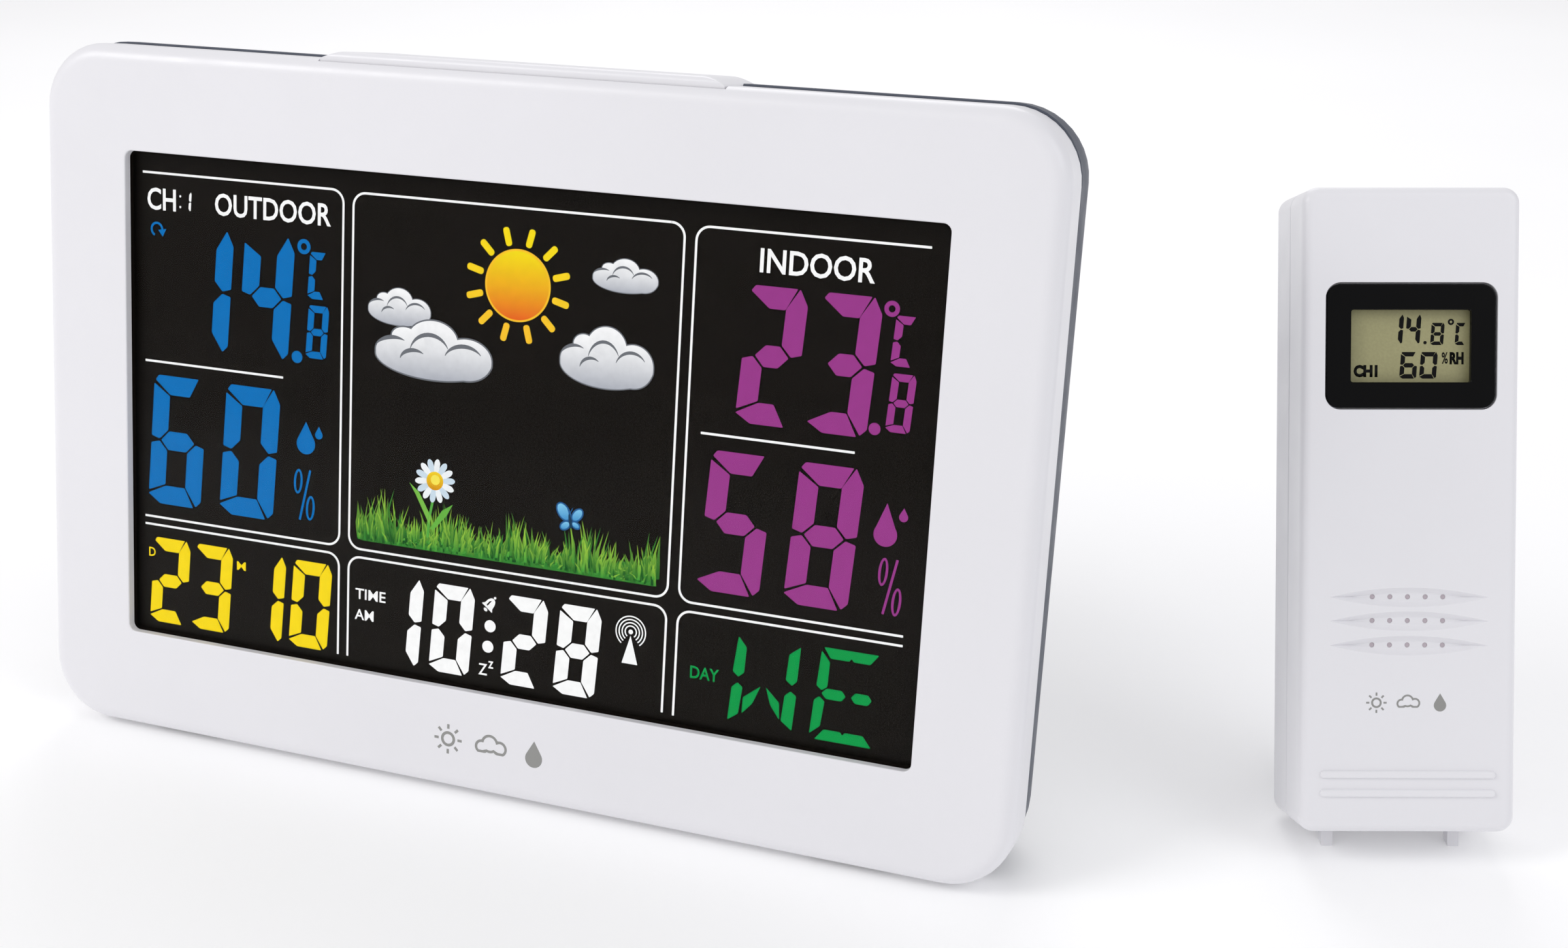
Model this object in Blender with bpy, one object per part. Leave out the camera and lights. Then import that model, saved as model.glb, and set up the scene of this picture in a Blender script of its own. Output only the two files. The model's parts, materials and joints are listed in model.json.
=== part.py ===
"""Home weather station: a desk console with a colour display, and its wireless outdoor sensor.

The console faces -Y, leans back on a fold-out leg and stands on two rubber feet. The sensor stands to
its right on its own leg, turned towards the reader. Both stand on z = 0, and the origin is the middle
of the set's footprint. Each unit is modelled upright in its own frame, in millimetres: X to the right,
Y from the front face to the back, Z up from the front face's lower edge. An empty then leans and
places it.
"""

import math

import bmesh
import bpy
from mathutils import Matrix, Vector

MM = 0.001
GAP = 0.3  # clearance between pieces that meet
PIVOT_GAP = 0.1  # radial clearance of a hinge pin
BIG = 60.0  # how far a cutter runs past the piece it cuts

# Console
WIDTH, HEIGHT, DEPTH = 200.0, 134.0, 26.0
CORNER = 12.5
LEAN = math.radians(10)
BEZEL_DEPTH = 9.0
EDGE_ROUND = 3.0
BEZEL_WALL = 2.2
FACE_WALL = 2.4
WINDOW_WIDTH, WINDOW_HEIGHT = 162.3, 94.6
WINDOW_Z = 67.2
WINDOW_DEEP = 1.6  # from the face to the lens's seat
REAR_TOP_STEP = 0.4  # the rear housing stands this much above the bezel's top
REAR_FOOT_STEP = 1.0  # and stays this much above its bottom
REAR_BAND = 12.8  # where the rear housing's straight band ends
REAR_INSET = 8.6  # how far its sides draw in behind the band
REAR_WALL = 2.0
REAR_TAPER = 0.006  # the sides draw in this share towards the bottom
LIP_INSET, LIP_INNER, LIP_FRONT = 2.5, 3.7, 6.9
SCREW_X, SCREW_LOW, SCREW_HIGH = 92.0, 11.0, 123.0
POST_RADIUS, PILOT_RADIUS, HEAD_BORE, BOSS_RADIUS = 3.2, 1.5, 2.9, 3.6
LENS_THICK = 1.2
PANEL_HALF, PANEL_TALL, PANEL_THICK = 83.0, 49.3, 2.0  # the display glass, half its width and height
GUIDE_THICK = 2.5
TRAY_HALF, TRAY_RIM, TRAY_BACK = 86.0, 2.6, 9.4
BOARD_FRONT, BOARD_BACK = 10.0, 11.2
CHIP_FRONT = BOARD_BACK + GAP
BUZZER_X, BUZZER_Z, BUZZER_RADIUS = 62.0, 44.0, 8.0
GRILLE_PITCH, GRILLE_RADIUS = 3.0, 0.7
JACK_X, JACK_Z, JACK_RING, JACK_BORE, JACK_PIN = 78.0, 24.0, 4.0, 2.8, 0.8
VENT_LEFT, VENT_RIGHT, VENT_FIRST, VENT_PITCH, VENT_HEIGHT = -80.0, -50.0, 86.0, 3.4, 1.5
VENTS = 6
KEYHOLE_Z, KEYHOLE_RADIUS, KEYHOLE_SLOT, KEYHOLE_TOP = 96.0, 5.2, 1.9, 107.0

# AAA cells
CELL_RADIUS, CELL_LENGTH = 5.2, 44.5
CELL_PITCH = 11.6
BAY_LENGTH = 51.0
BAY_WALL = 1.4
DOOR_THICK = 1.6
CONTACT = 0.4

# Console's battery bay, measured at its inner walls
BAY_LEFT, BAY_BOTTOM = -84.0, 28.0
BAY_HEIGHT = 34.3
BAY_FLOOR = 13.4

# Keys
KEY_WIDTH, KEY_HEIGHT, KEY_PROUD = 9.0, 5.0, 0.9
KEY_COLUMNS, KEY_ROWS = (46.0, 60.0, 74.0), (92.0, 78.0)
SNOOZE_HALF, SNOOZE_TOP_HALF = 39.5, 35.0
SNOOZE_BASE, SNOOZE_TOP = HEIGHT - 0.7, HEIGHT + 1.4
SNOOZE_FRONT, SNOOZE_BACK = 1.6, 17.0
SNOOZE_FLOOR = HEIGHT - 1.6

# Fold-out legs
LEG_THICK = 3.0
PIN_RADIUS = 1.0
KNUCKLE = 2.3
CONSOLE_LEG_WIDTH, CONSOLE_LEG_LENGTH = 44.0, 61.0
CONSOLE_HINGE_Y, CONSOLE_HINGE_Z = 23.9, 62.0
FOOT_Y, FOOT_PROUD, FOOT_X = 6.6, 0.6, 70.0
FOOT_WIDTH, FOOT_LENGTH, FOOT_POCKET = 14.0, 3.6, 0.9

# Sensor
SENSOR_WIDTH, SENSOR_HEIGHT, SENSOR_DEPTH = 38.0, 113.5, 21.0
SENSOR_LEAN, SENSOR_TURN = math.radians(20), math.radians(20)
SENSOR_X, SENSOR_Y, SENSOR_LIFT = 162.7, 36.6, 7.7  # from the console's front edge, and from the table
SENSOR_CORNER, SENSOR_ROUND = 2.8, 1.6
SENSOR_SEAM = 9.5
SENSOR_WALL = 1.8
SENSOR_WINDOW = (30.1, 22.3)
SENSOR_WINDOW_Z = 85.7
SENSOR_VIEW = (21.0, 12.7)
LOUVRE_ROWS = (33.1, 37.4, 41.6)
LOUVRE_LENGTH, LOUVRE_HEIGHT, LOUVRE_DEEP = 25.0, 3.1, 0.7
PINHOLE_PITCH, PINHOLE_RADIUS = 3.1, 0.45
RIDGE_ROWS = (7.0, 10.3)
RIDGE_LENGTH, RIDGE_HEIGHT, RIDGE_PROUD = 30.9, 1.4, 0.5
SENSOR_BAY_BOTTOM, SENSOR_BAY_WIDTH, SENSOR_BAY_FLOOR = 43.0, 22.6, 8.0
PANEL_BOTTOM, PANEL_TOP, PANEL_FLOOR = 95.2, 102.8, 16.4
PANEL_ROW, SWITCH_FIRST, SWITCH_TRAVEL, TRANSMIT_X = 99.0, -5.6, 4.0, 6.0
SENSOR_LEG_WIDTH, SENSOR_LEG_LENGTH, SENSOR_LEG_THICK = 22.0, 38.2, 2.4
SENSOR_HINGE_Y, SENSOR_HINGE_Z, SENSOR_KNUCKLE = 19.1, 38.6, 1.8
SENSOR_SCREW = (0.0, 108.4)
SENSOR_BOARD_FRONT = 5.2
TOE_X, TOE_FRONT, TOE_BACK, TOE_WIDTH = 11.4, 10.2, 12.6, 2.0

# Colours as (red, green, blue), roughness and metallic
FINISHES = {
    "white_shell": ((0.80, 0.81, 0.83), 0.35, 0.0),
    "slate_shell": ((0.060, 0.068, 0.090), 0.45, 0.0),
    "key_plastic": ((0.62, 0.64, 0.67), 0.40, 0.0),
    "clear_lens": ((0.90, 0.92, 0.93), 0.05, 0.0),
    "display_glass": ((0.010, 0.009, 0.008), 0.12, 0.0),
    "light_guide": ((0.86, 0.88, 0.86), 0.20, 0.0),
    "inner_frame": ((0.70, 0.70, 0.68), 0.50, 0.0),
    "circuit_board": ((0.030, 0.140, 0.060), 0.45, 0.0),
    "black_plastic": ((0.020, 0.020, 0.022), 0.40, 0.0),
    "sensor_glass": ((0.33, 0.31, 0.16), 0.20, 0.0),
    "steel": ((0.62, 0.63, 0.65), 0.28, 1.0),
    "copper": ((0.72, 0.35, 0.16), 0.35, 1.0),
    "ferrite": ((0.09, 0.085, 0.08), 0.60, 0.0),
    "cell_wrap": ((0.10, 0.22, 0.42), 0.35, 0.0),
    "silicone": ((0.30, 0.31, 0.33), 0.60, 0.0),
    "rubber": ((0.035, 0.035, 0.037), 0.80, 0.0),
}


def clear_scene():
    for old in list(bpy.data.objects):
        bpy.data.objects.remove(old, do_unlink=True)


def material(slot):
    found = bpy.data.materials.get(slot)
    if found:
        return found
    colour, roughness, metallic = FINISHES[slot]
    made = bpy.data.materials.new(slot)
    made.use_nodes = True
    shader = made.node_tree.nodes["Principled BSDF"]
    shader.inputs["Base Color"].default_value = (*colour, 1.0)
    shader.inputs["Roughness"].default_value = roughness
    shader.inputs["Metallic"].default_value = metallic
    return made


def empty(name, location, rotation, parent=None):
    made = bpy.data.objects.new(name, None)
    bpy.context.scene.collection.objects.link(made)
    made.parent = parent
    made.location = Vector(location) * MM
    made.rotation_euler = rotation
    return made


# Outlines are lists of (a, b) points, and shapes are bmeshes in millimetres.


def rounded_rect(width, height, radius, centre=(0.0, 0.0), steps=6):
    """Points of a rectangle with round corners, the same number for any size."""
    points = []
    for corner, (sx, sz) in enumerate(((1, 1), (-1, 1), (-1, -1), (1, -1))):
        for i in range(steps + 1):
            angle = math.pi / 2 * (corner + i / steps)
            x = sx * (width / 2 - radius) + radius * math.cos(angle)
            z = sz * (height / 2 - radius) + radius * math.sin(angle)
            points.append((centre[0] + x, centre[1] + z))
    return points


def circle(radius, centre=(0.0, 0.0), sides=24):
    turn = 2 * math.pi / sides
    return [
        (centre[0] + radius * math.cos(turn * i), centre[1] + radius * math.sin(turn * i))
        for i in range(sides)
    ]


def place(axis, along, point):
    """A point of an outline at a distance along an axis: the outline's plane is the other two axes."""
    a, b = point
    return {"X": (along, a, b), "Y": (a, along, b), "Z": (a, b, along)}[axis]


def loft(rings):
    """A closed solid through rings of equally many points."""
    shape = bmesh.new()
    made = [[shape.verts.new(point) for point in ring] for ring in rings]
    count = len(rings[0])
    for lower, upper in zip(made, made[1:]):
        for i in range(count):
            j = (i + 1) % count
            shape.faces.new((lower[i], lower[j], upper[j], upper[i]))
    shape.faces.new(made[0])
    shape.faces.new(made[-1])
    bmesh.ops.recalc_face_normals(shape, faces=shape.faces)
    return shape


def stack(axis, steps):
    """A solid along an axis from (distance, outline) steps."""
    return loft([[place(axis, along, point) for point in outline] for along, outline in steps])


def prism(axis, outline, start, end):
    return stack(axis, ((start, outline), (end, outline)))


def rod(axis, radius, centre, start, end, sides=24):
    return prism(axis, circle(radius, centre, sides), start, end)


def turned(axis, centre, profile, sides=24):
    """A turned solid from (distance, radius) steps."""
    return stack(axis, [(along, circle(radius, centre, sides)) for along, radius in profile])


def block(low, high):
    shape = bmesh.new()
    bmesh.ops.create_cube(shape, size=1.0)
    size = [h - l for l, h in zip(low, high)]
    middle = [(h + l) / 2 for l, h in zip(low, high)]
    bmesh.ops.scale(shape, vec=size, verts=shape.verts)
    bmesh.ops.translate(shape, vec=middle, verts=shape.verts)
    return shape


def several(shapes):
    """Shapes that don't touch, in one bmesh."""
    joined = bmesh.new()
    for shape in shapes:
        mesh = bpy.data.meshes.new("scrap")
        shape.to_mesh(mesh)
        shape.free()
        joined.from_mesh(mesh)
        bpy.data.meshes.remove(mesh)
    return joined


def add(name, shape, parent, slot=None, origin=(0.0, 0.0, 0.0), rotation=(0.0, 0.0, 0.0)):
    """Makes an object from a shape drawn in its unit's frame; its origin is moved to a point there."""
    bmesh.ops.transform(
        shape, matrix=Matrix.Scale(MM, 4) @ Matrix.Translation(-Vector(origin)), verts=shape.verts
    )
    mesh = bpy.data.meshes.new(name)
    shape.to_mesh(mesh)
    shape.free()
    made = bpy.data.objects.new(name, mesh)
    bpy.context.scene.collection.objects.link(made)
    made.parent = parent
    made.location = Vector(origin) * MM
    made.rotation_euler = rotation
    if slot:
        mesh.materials.append(material(slot))
        mesh.shade_smooth()
        mesh.set_sharp_from_angle(angle=math.radians(32))
    return made


def tool(target, shape, operation):
    """A hidden shape that a Boolean modifier joins to, or takes from, the target."""
    count = len(target.modifiers) + 1
    name = f"{target.name}_{operation.lower()}_{count}"
    helper = add(name, shape, target.parent, None, target.location / MM, target.rotation_euler)
    helper.hide_render = True
    helper.display_type = "WIRE"
    boolean = target.modifiers.new(operation.title(), "BOOLEAN")
    boolean.operation = operation
    boolean.solver = "EXACT"
    boolean.object = helper
    return helper


def cut(target, shape):
    return tool(target, shape, "DIFFERENCE")


def join(target, shape):
    return tool(target, shape, "UNION")


def mirrored(x):
    return (-x, x)


# Console shells


def face_outline(inset):
    """The console's outline, drawn in by an inset on every side."""
    size = (WIDTH - 2 * inset, HEIGHT - 2 * inset)
    return rounded_rect(*size, max(CORNER - inset, 1.0), (0.0, HEIGHT / 2), steps=7)


def rear_outline(inset):
    """The rear housing's outline: a step higher than the bezel, and narrower towards the bottom."""
    height = HEIGHT + REAR_TOP_STEP - REAR_FOOT_STEP - 2 * inset
    middle = (HEIGHT + REAR_TOP_STEP + REAR_FOOT_STEP) / 2
    outline = rounded_rect(WIDTH - 2 * inset, height, max(CORNER - inset, 1.0), (0.0, middle), steps=7)
    return [(x * (1 - REAR_TAPER * (1 - z / HEIGHT)), z) for x, z in outline]


def rear_profile(wall):
    """(distance, inset) steps of the rear housing behind its band, inside a wall of a thickness."""
    steps = 5
    deep = DEPTH - REAR_BAND
    return [
        (
            REAR_BAND + deep * math.sin(math.pi / 2 * i / steps) - wall * i / steps,
            REAR_INSET * (1 - math.cos(math.pi / 2 * i / steps)) + wall,
        )
        for i in range(steps + 1)
    ]


def screw_places():
    return [(x, z) for z in (SCREW_LOW, SCREW_HIGH) for x in (-SCREW_X, SCREW_X)]


def ground_at(y):
    """The table's height in the leaning console's frame, at a depth."""
    return (y * math.sin(LEAN) - console_lift()) / math.cos(LEAN)


def console_lift():
    """How far the front face's lower edge stands above the table."""
    return FOOT_Y * math.sin(LEAN) + FOOT_PROUD * math.cos(LEAN)


def make_bezel(frame):
    steps = 5
    rings = [(BEZEL_DEPTH, face_outline(0.0))]
    for i in range(steps + 1):
        angle = math.pi / 2 * i / steps
        depth = EDGE_ROUND * (1 - math.sin(angle))
        rings.append((depth, face_outline(EDGE_ROUND * (1 - math.cos(angle)))))
    bezel = add("front_bezel", stack("Y", rings), frame, "white_shell")
    hollow = cut(bezel, prism("Y", face_outline(BEZEL_WALL), FACE_WALL, BEZEL_DEPTH + BIG))
    cut(hollow, block((-42.0, 0.0, 130.4), (42.0, BIG, HEIGHT)))  # thicker wall under the snooze key
    window = rounded_rect(WINDOW_WIDTH, WINDOW_HEIGHT, 1.5, (0.0, WINDOW_Z), steps=3)
    cut(bezel, prism("Y", window, -1.0, FACE_WALL + 1.0))
    seat = rounded_rect(WINDOW_WIDTH + 6.6, WINDOW_HEIGHT + 6.6, 1.5, (0.0, WINDOW_Z), steps=3)
    cut(bezel, prism("Y", seat, WINDOW_DEEP, FACE_WALL + 0.3))
    back = BEZEL_DEPTH - GAP
    posts = [rod("Y", POST_RADIUS, spot, FACE_WALL - 0.6, back, 16) for spot in screw_places()]
    join(bezel, several(posts))
    pilots = [rod("Y", PILOT_RADIUS, spot, 4.0, BEZEL_DEPTH + 1, 12) for spot in screw_places()]
    cut(bezel, several(pilots))
    cut(bezel, snooze_recess(1.3))
    pockets = []
    for x in mirrored(FOOT_X):
        half = FOOT_WIDTH / 2 + GAP
        low = (x - half, FOOT_Y - FOOT_LENGTH / 2 - GAP, -BIG)
        pockets.append(block(low, (x + half, BEZEL_DEPTH + 1.0, FOOT_POCKET)))  # open at the back
    cut(bezel, several(pockets))


def snooze_recess(front):
    half = SNOOZE_HALF + GAP
    return block((-half, front, SNOOZE_FLOOR), (half, SNOOZE_BACK + GAP, HEIGHT + BIG))


def make_rear_housing(frame):
    lip = face_outline(LIP_INSET)
    start = BEZEL_DEPTH + GAP
    rings = [(LIP_FRONT, lip), (start, lip), (start, rear_outline(0.0))]
    rings += [(along, rear_outline(inset)) for along, inset in rear_profile(0.0)]
    housing = add("rear_housing", stack("Y", rings), frame, "slate_shell")

    inside = face_outline(LIP_INNER)
    rings = [(LIP_FRONT - 1.0, inside), (start + 1.0, inside)]
    rings += [(along, rear_outline(inset)) for along, inset in rear_profile(REAR_WALL)]
    hollow = cut(housing, stack("Y", rings))
    wall = DEPTH - REAR_WALL + 0.5
    bay = bay_block(BAY_WALL, 12.0, wall)
    cut(hollow, bay)
    cut(hollow, leg_keep(CONSOLE_LEG_WIDTH / 2 + 4.5, 19.6, CONSOLE_HINGE_Z + 7, wall))
    cut(hollow, several([rod("Y", BOSS_RADIUS, spot, start, wall, 16) for spot in screw_places()]))
    cut(hollow, block((-42.0, start, 129.5), (42.0, 19.5, HEIGHT)))

    cut(housing, block((-42.6, LIP_FRONT - 1, 129.0), (42.6, start, HEIGHT)))  # the lip's notch
    cut(housing, snooze_recess(start - 1.0))
    stems = [block((-3.4, 10.6, 125.0), (3.4, 14.4, HEIGHT))]
    stems += [block((x - 1.4, 11.1, 125.0), (x + 1.4, 13.9, HEIGHT)) for x in mirrored(30.0)]
    cut(housing, several(stems))
    cut(housing, bay_block(0.0, BAY_FLOOR, BIG))
    cut(housing, bay_block(BAY_WALL + GAP, DEPTH - DOOR_THICK - GAP, BIG))
    cut_leg_pocket(
        housing, CONSOLE_LEG_WIDTH, CONSOLE_HINGE_Y, CONSOLE_HINGE_Z, KNUCKLE, LEG_THICK, 1.9
    )
    cut(housing, several([rod("Y", PILOT_RADIUS, spot, LIP_FRONT, 13.5, 12) for spot in screw_places()]))
    cut(housing, several([rod("Y", HEAD_BORE, spot, 13.0, BIG, 16) for spot in screw_places()]))
    holes = []
    for x in KEY_COLUMNS:
        for z in KEY_ROWS:
            hole = rounded_rect(KEY_WIDTH + 2 * GAP, KEY_HEIGHT + 2 * GAP, 1.5, (x, z), steps=2)
            holes.append(prism("Y", hole, DEPTH - REAR_WALL - 1, BIG))
    cut(housing, several(holes))
    inner = DEPTH - REAR_WALL - 1
    openings = [rod("Y", JACK_RING + GAP, (JACK_X, JACK_Z), inner, BIG)]
    for i in (-1, 0, 1):
        for j in (-1, 0, 1):
            spot = (BUZZER_X + GRILLE_PITCH * i, BUZZER_Z + GRILLE_PITCH * j)
            openings.append(rod("Y", GRILLE_RADIUS, spot, inner, BIG, 8))
    for i in range(VENTS):
        low = VENT_FIRST + VENT_PITCH * i
        openings.append(block((VENT_LEFT, inner, low), (VENT_RIGHT, BIG, low + VENT_HEIGHT)))
    cut(housing, several(openings))
    cut(housing, rod("Y", KEYHOLE_RADIUS, (0.0, KEYHOLE_Z), inner, BIG))
    cut(housing, block((-KEYHOLE_SLOT, inner, KEYHOLE_Z), (KEYHOLE_SLOT, BIG, KEYHOLE_TOP)))


def bay_block(grow, front, back):
    """The battery bay's space, grown by a wall, between two depths."""
    low = (BAY_LEFT - grow, front, BAY_BOTTOM - grow)
    return block(low, (BAY_LEFT + BAY_LENGTH + grow, back, BAY_BOTTOM + BAY_HEIGHT + grow))


def leg_keep(half, front, top, back):
    return block((-half, front, -1.0), (half, back, top))


def cut_leg_pocket(housing, width, hinge_y, hinge_z, knuckle, thick, side_hole):
    """The pocket that a leg folds into, deeper round its knuckle, and the pin's holes beside it."""
    half = width / 2 + GAP
    floor = hinge_y - thick * 0.4 - GAP
    cut(housing, block((-half, floor, -BIG), (half, BIG, hinge_z + knuckle + 2 * GAP)))
    low = (-half, hinge_y - knuckle - GAP, hinge_z - knuckle - 4 * GAP)
    cut(housing, block(low, (half, BIG, hinge_z + knuckle + GAP)))
    reach = half + side_hole + GAP
    pin = rod("X", PIN_RADIUS + PIVOT_GAP, (hinge_y, hinge_z), -reach, reach, 24)
    cut(housing, pin)


def make_leg(name, pin_name, frame, slot, width, length, thick, hinge, knuckle, height, lean, side):
    """An easel leg on its pin, opened until its tip is on the table.

    hinge is the pin's (y, z) in the unit's frame, and height its height above the table.
    """
    hinge_y, hinge_z = hinge
    back = math.acos(height / length)  # between the open leg and the vertical
    opened = lean + back
    front_face = -thick * 0.4
    rear_face = front_face + thick

    def tip(y):
        return hinge_z - (height + y * math.sin(back)) / math.cos(back)

    outline = [
        (hinge_y + front_face, hinge_z),
        (hinge_y + rear_face, hinge_z),
        (hinge_y + rear_face, tip(rear_face)),
        (hinge_y + front_face, tip(front_face)),
    ]
    half = width / 2
    centre = (0.0, hinge_y, hinge_z)
    leg = add(name, prism("X", outline, -half, half), frame, slot, centre, (opened, 0.0, 0.0))
    join(leg, rod("X", knuckle, (hinge_y, hinge_z), -half, half, 20))
    cut(leg, rod("X", PIN_RADIUS + PIVOT_GAP, (hinge_y, hinge_z), -BIG, BIG, 24))
    reach = half + GAP + side
    add(pin_name, rod("X", PIN_RADIUS, (hinge_y, hinge_z), -reach, reach, 24), frame, "steel")


def console_height(y, z):
    """Height above the table of a point in the console's frame."""
    return console_lift() + z * math.cos(LEAN) - y * math.sin(LEAN)


def sensor_height(y, z):
    return SENSOR_LIFT + z * math.cos(SENSOR_LEAN) - y * math.sin(SENSOR_LEAN)


def make_feet(frame):
    for side, x in (("left", -FOOT_X), ("right", FOOT_X)):
        front, back = FOOT_Y - FOOT_LENGTH / 2, FOOT_Y + FOOT_LENGTH / 2
        top = FOOT_POCKET - GAP
        outline = [(front, top), (back, top), (back, ground_at(back)), (front, ground_at(front))]
        half = FOOT_WIDTH / 2
        add(f"foot_{side}", prism("X", outline, x - half, x + half), frame, "rubber")


# Console's display and electronics


def make_display(frame):
    lens = rounded_rect(WINDOW_WIDTH + 6.0, WINDOW_HEIGHT + 6.0, 1.2, (0.0, WINDOW_Z), steps=3)
    lens_back = WINDOW_DEEP + GAP + LENS_THICK
    add("display_lens", prism("Y", lens, WINDOW_DEEP + GAP, lens_back), frame, "clear_lens")
    half = PANEL_HALF
    low, high = WINDOW_Z - PANEL_TALL, WINDOW_Z + PANEL_TALL
    panel_front, panel_back = lens_back + GAP, lens_back + GAP + PANEL_THICK
    add("lcd_panel", block((-half, panel_front, low), (half, panel_back, high)), frame, "display_glass")
    guide_front, guide_back = panel_back + GAP, panel_back + GAP + GUIDE_THICK
    guide = block((-half, guide_front, low), (half, guide_back, high - 4.0))
    add("light_guide", guide, frame, "light_guide")
    strip = block((-half, guide_front, high - 3.5), (half, guide_front + 1.0, high - 0.3))
    leds = add("led_strip", strip, frame, "circuit_board")
    for i in range(6):
        x = -70.0 + 28.0 * i
        start = guide_front + 0.7
        join(leds, block((x - 1.8, start, high - 3.2), (x + 1.8, guide_back, high - 1.0)))
    tray = block((-TRAY_HALF, panel_front, low - TRAY_RIM), (TRAY_HALF, TRAY_BACK, high + TRAY_RIM))
    tray = add("lcd_frame", tray, frame, "inner_frame")
    cut(tray, block((-half - GAP, 0.0, low - GAP), (half + GAP, guide_back + GAP, high + GAP)))
    cut(tray, block((8.0, 0.0, -BIG), (72.0, guide_back + GAP, low)))
    thick = 0.4
    front, back = panel_front + 0.8, CHIP_FRONT
    bottom, start, end = 13.4, low - GAP, 29.0
    outline = [
        (front, start),
        (front, bottom),
        (back + thick, bottom),
        (back + thick, end),
        (back, end),
        (back, bottom + thick),
        (front + thick, bottom + thick),
        (front + thick, start),
    ]
    add("lcd_ribbon", prism("X", outline, 10.0, 70.0), frame, "copper")


def make_electronics(frame):
    board = block((-26.0, BOARD_FRONT, 22.0), (87.0, BOARD_BACK, 121.0))
    add("main_board", board, frame, "circuit_board")
    chip = rounded_rect(14.0, 14.0, 1.0, (8.0, 52.0), steps=1)
    add("controller_chip", prism("Y", chip, CHIP_FRONT, CHIP_FRONT + 1.4), frame, "black_plastic")
    radio = add(
        "radio_receiver",
        block((-20.0, CHIP_FRONT, 84.0), (-6.0, CHIP_FRONT + 1.0, 106.0)),
        frame,
        "circuit_board",
    )
    join(radio, block((-18.0, CHIP_FRONT + 0.5, 88.0), (-8.0, CHIP_FRONT + 3.0, 100.0)))
    rod_spot = (16.5, 111.0)
    add("antenna_rod", rod("X", 2.5, rod_spot, 12.0, 72.0, 16), frame, "ferrite")
    coil = add("antenna_coil", rod("X", 3.9, rod_spot, 20.0, 38.0, 20), frame, "copper")
    cut(coil, rod("X", 2.8, rod_spot, 10.0, 50.0, 20))
    profile = [(0.0, BUZZER_RADIUS), (4.4, BUZZER_RADIUS), (5.0, BUZZER_RADIUS - 0.6)]
    buzzer = turned("Y", (BUZZER_X, BUZZER_Z), [(CHIP_FRONT + y, radius) for y, radius in profile])
    add("buzzer", buzzer, frame, "black_plastic")
    probe = block((-72.0, 18.0, 88.0), (-58.0, 19.2, 102.0))
    probe = add("indoor_probe", probe, frame, "circuit_board")
    join(probe, block((-69.0, 18.8, 91.0), (-61.0, 21.4, 99.0)))
    jack = (JACK_X, JACK_Z)
    half = JACK_RING + 0.5
    body = block((JACK_X - half, CHIP_FRONT, JACK_Z - half), (JACK_X + half, 23.7, JACK_Z + half))
    socket = add("dc_socket", body, frame, "black_plastic")
    join(socket, rod("Y", JACK_RING, jack, 20.0, DEPTH - 0.2))
    cut(socket, rod("Y", JACK_BORE, jack, 15.0, BIG))
    join(socket, rod("Y", JACK_PIN, jack, 14.0, DEPTH - 1.5, 12))
    switch = block((-3.0, CHIP_FRONT, 117.0), (3.0, 15.0, 122.6))
    switch = add("snooze_switch", switch, frame, "black_plastic")
    join(switch, rod("Z", 1.5, (0.0, 13.2), 120.0, 124.2, 12))


def make_key_parts(frame):
    low = (KEY_COLUMNS[0] - 8, 17.6, KEY_ROWS[1] - 6)
    high = (KEY_COLUMNS[2] + 8, 19.0, KEY_ROWS[0] + 6)
    add("key_board", block(low, high), frame, "circuit_board")
    low = (KEY_COLUMNS[0] - 7, 19.3, KEY_ROWS[1] - 5)
    high = (KEY_COLUMNS[2] + 7, 20.2, KEY_ROWS[0] + 5)
    mat = add("key_mat", block(low, high), frame, "silicone")
    domes = [
        turned("Y", (x, z), [(19.8, 3.0), (20.6, 2.2), (21.2, 2.0)], 12)
        for x in KEY_COLUMNS
        for z in KEY_ROWS
    ]
    join(mat, several(domes))


def make_battery(frame):
    middle = CELL_RADIUS + GAP + BAY_FLOOR
    first = BAY_BOTTOM + BAY_HEIGHT / 2 - CELL_PITCH
    left, right = BAY_LEFT, BAY_LEFT + BAY_LENGTH
    plate_gap = GAP + CONTACT
    for i, level in enumerate(("lower", "middle", "upper")):
        spot = (middle, first + CELL_PITCH * i)
        nub, sign = (right - plate_gap - GAP, -1) if level != "middle" else (left + plate_gap + GAP, 1)
        cell = turned("X", spot, cell_profile(nub, sign), 20)
        add(f"cell_{level}", cell, frame, "cell_wrap")
    springs = {
        "left": (left + GAP, 1, (first, first + 2 * CELL_PITCH)),
        "right": (right - GAP, -1, (first + CELL_PITCH,)),
    }
    for side, (wall, sign, rows) in springs.items():
        ends = sorted((wall, wall + sign * CONTACT))
        plate = block((ends[0], 14.4, BAY_BOTTOM + 1.0), (ends[1], 23.2, BAY_BOTTOM + BAY_HEIGHT - 1.0))
        plate = add(f"contacts_{side}", plate, frame, "steel")
        reach = BAY_LENGTH - CELL_LENGTH - 3 * GAP - CONTACT
        for z in rows:
            spring = [(wall + sign * 0.1, 3.6), (wall + sign * (reach - GAP), 2.3)]
            join(plate, turned("X", (middle, z), spring, 16))


def cell_profile(nub, sign):
    """(distance, radius) steps of an AAA cell from its nub's tip, running along sign."""
    steps = ((0.0, 1.8), (0.9, 1.8), (1.0, 4.8), (1.4, CELL_RADIUS), (44.1, CELL_RADIUS), (44.5, 4.6))
    return [(nub + sign * along, radius) for along, radius in steps]


def make_console_screws(frame):
    profile = [(4.6, 0.9), (5.4, 1.2), (13.3, 1.2), (13.3, 2.6), (14.4, 2.6), (15.1, 1.8)]
    for i, spot in enumerate(screw_places(), start=1):
        add(f"housing_screw_{i}", turned("Y", spot, profile, 12), frame, "steel")


# Console's moving pieces


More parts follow.
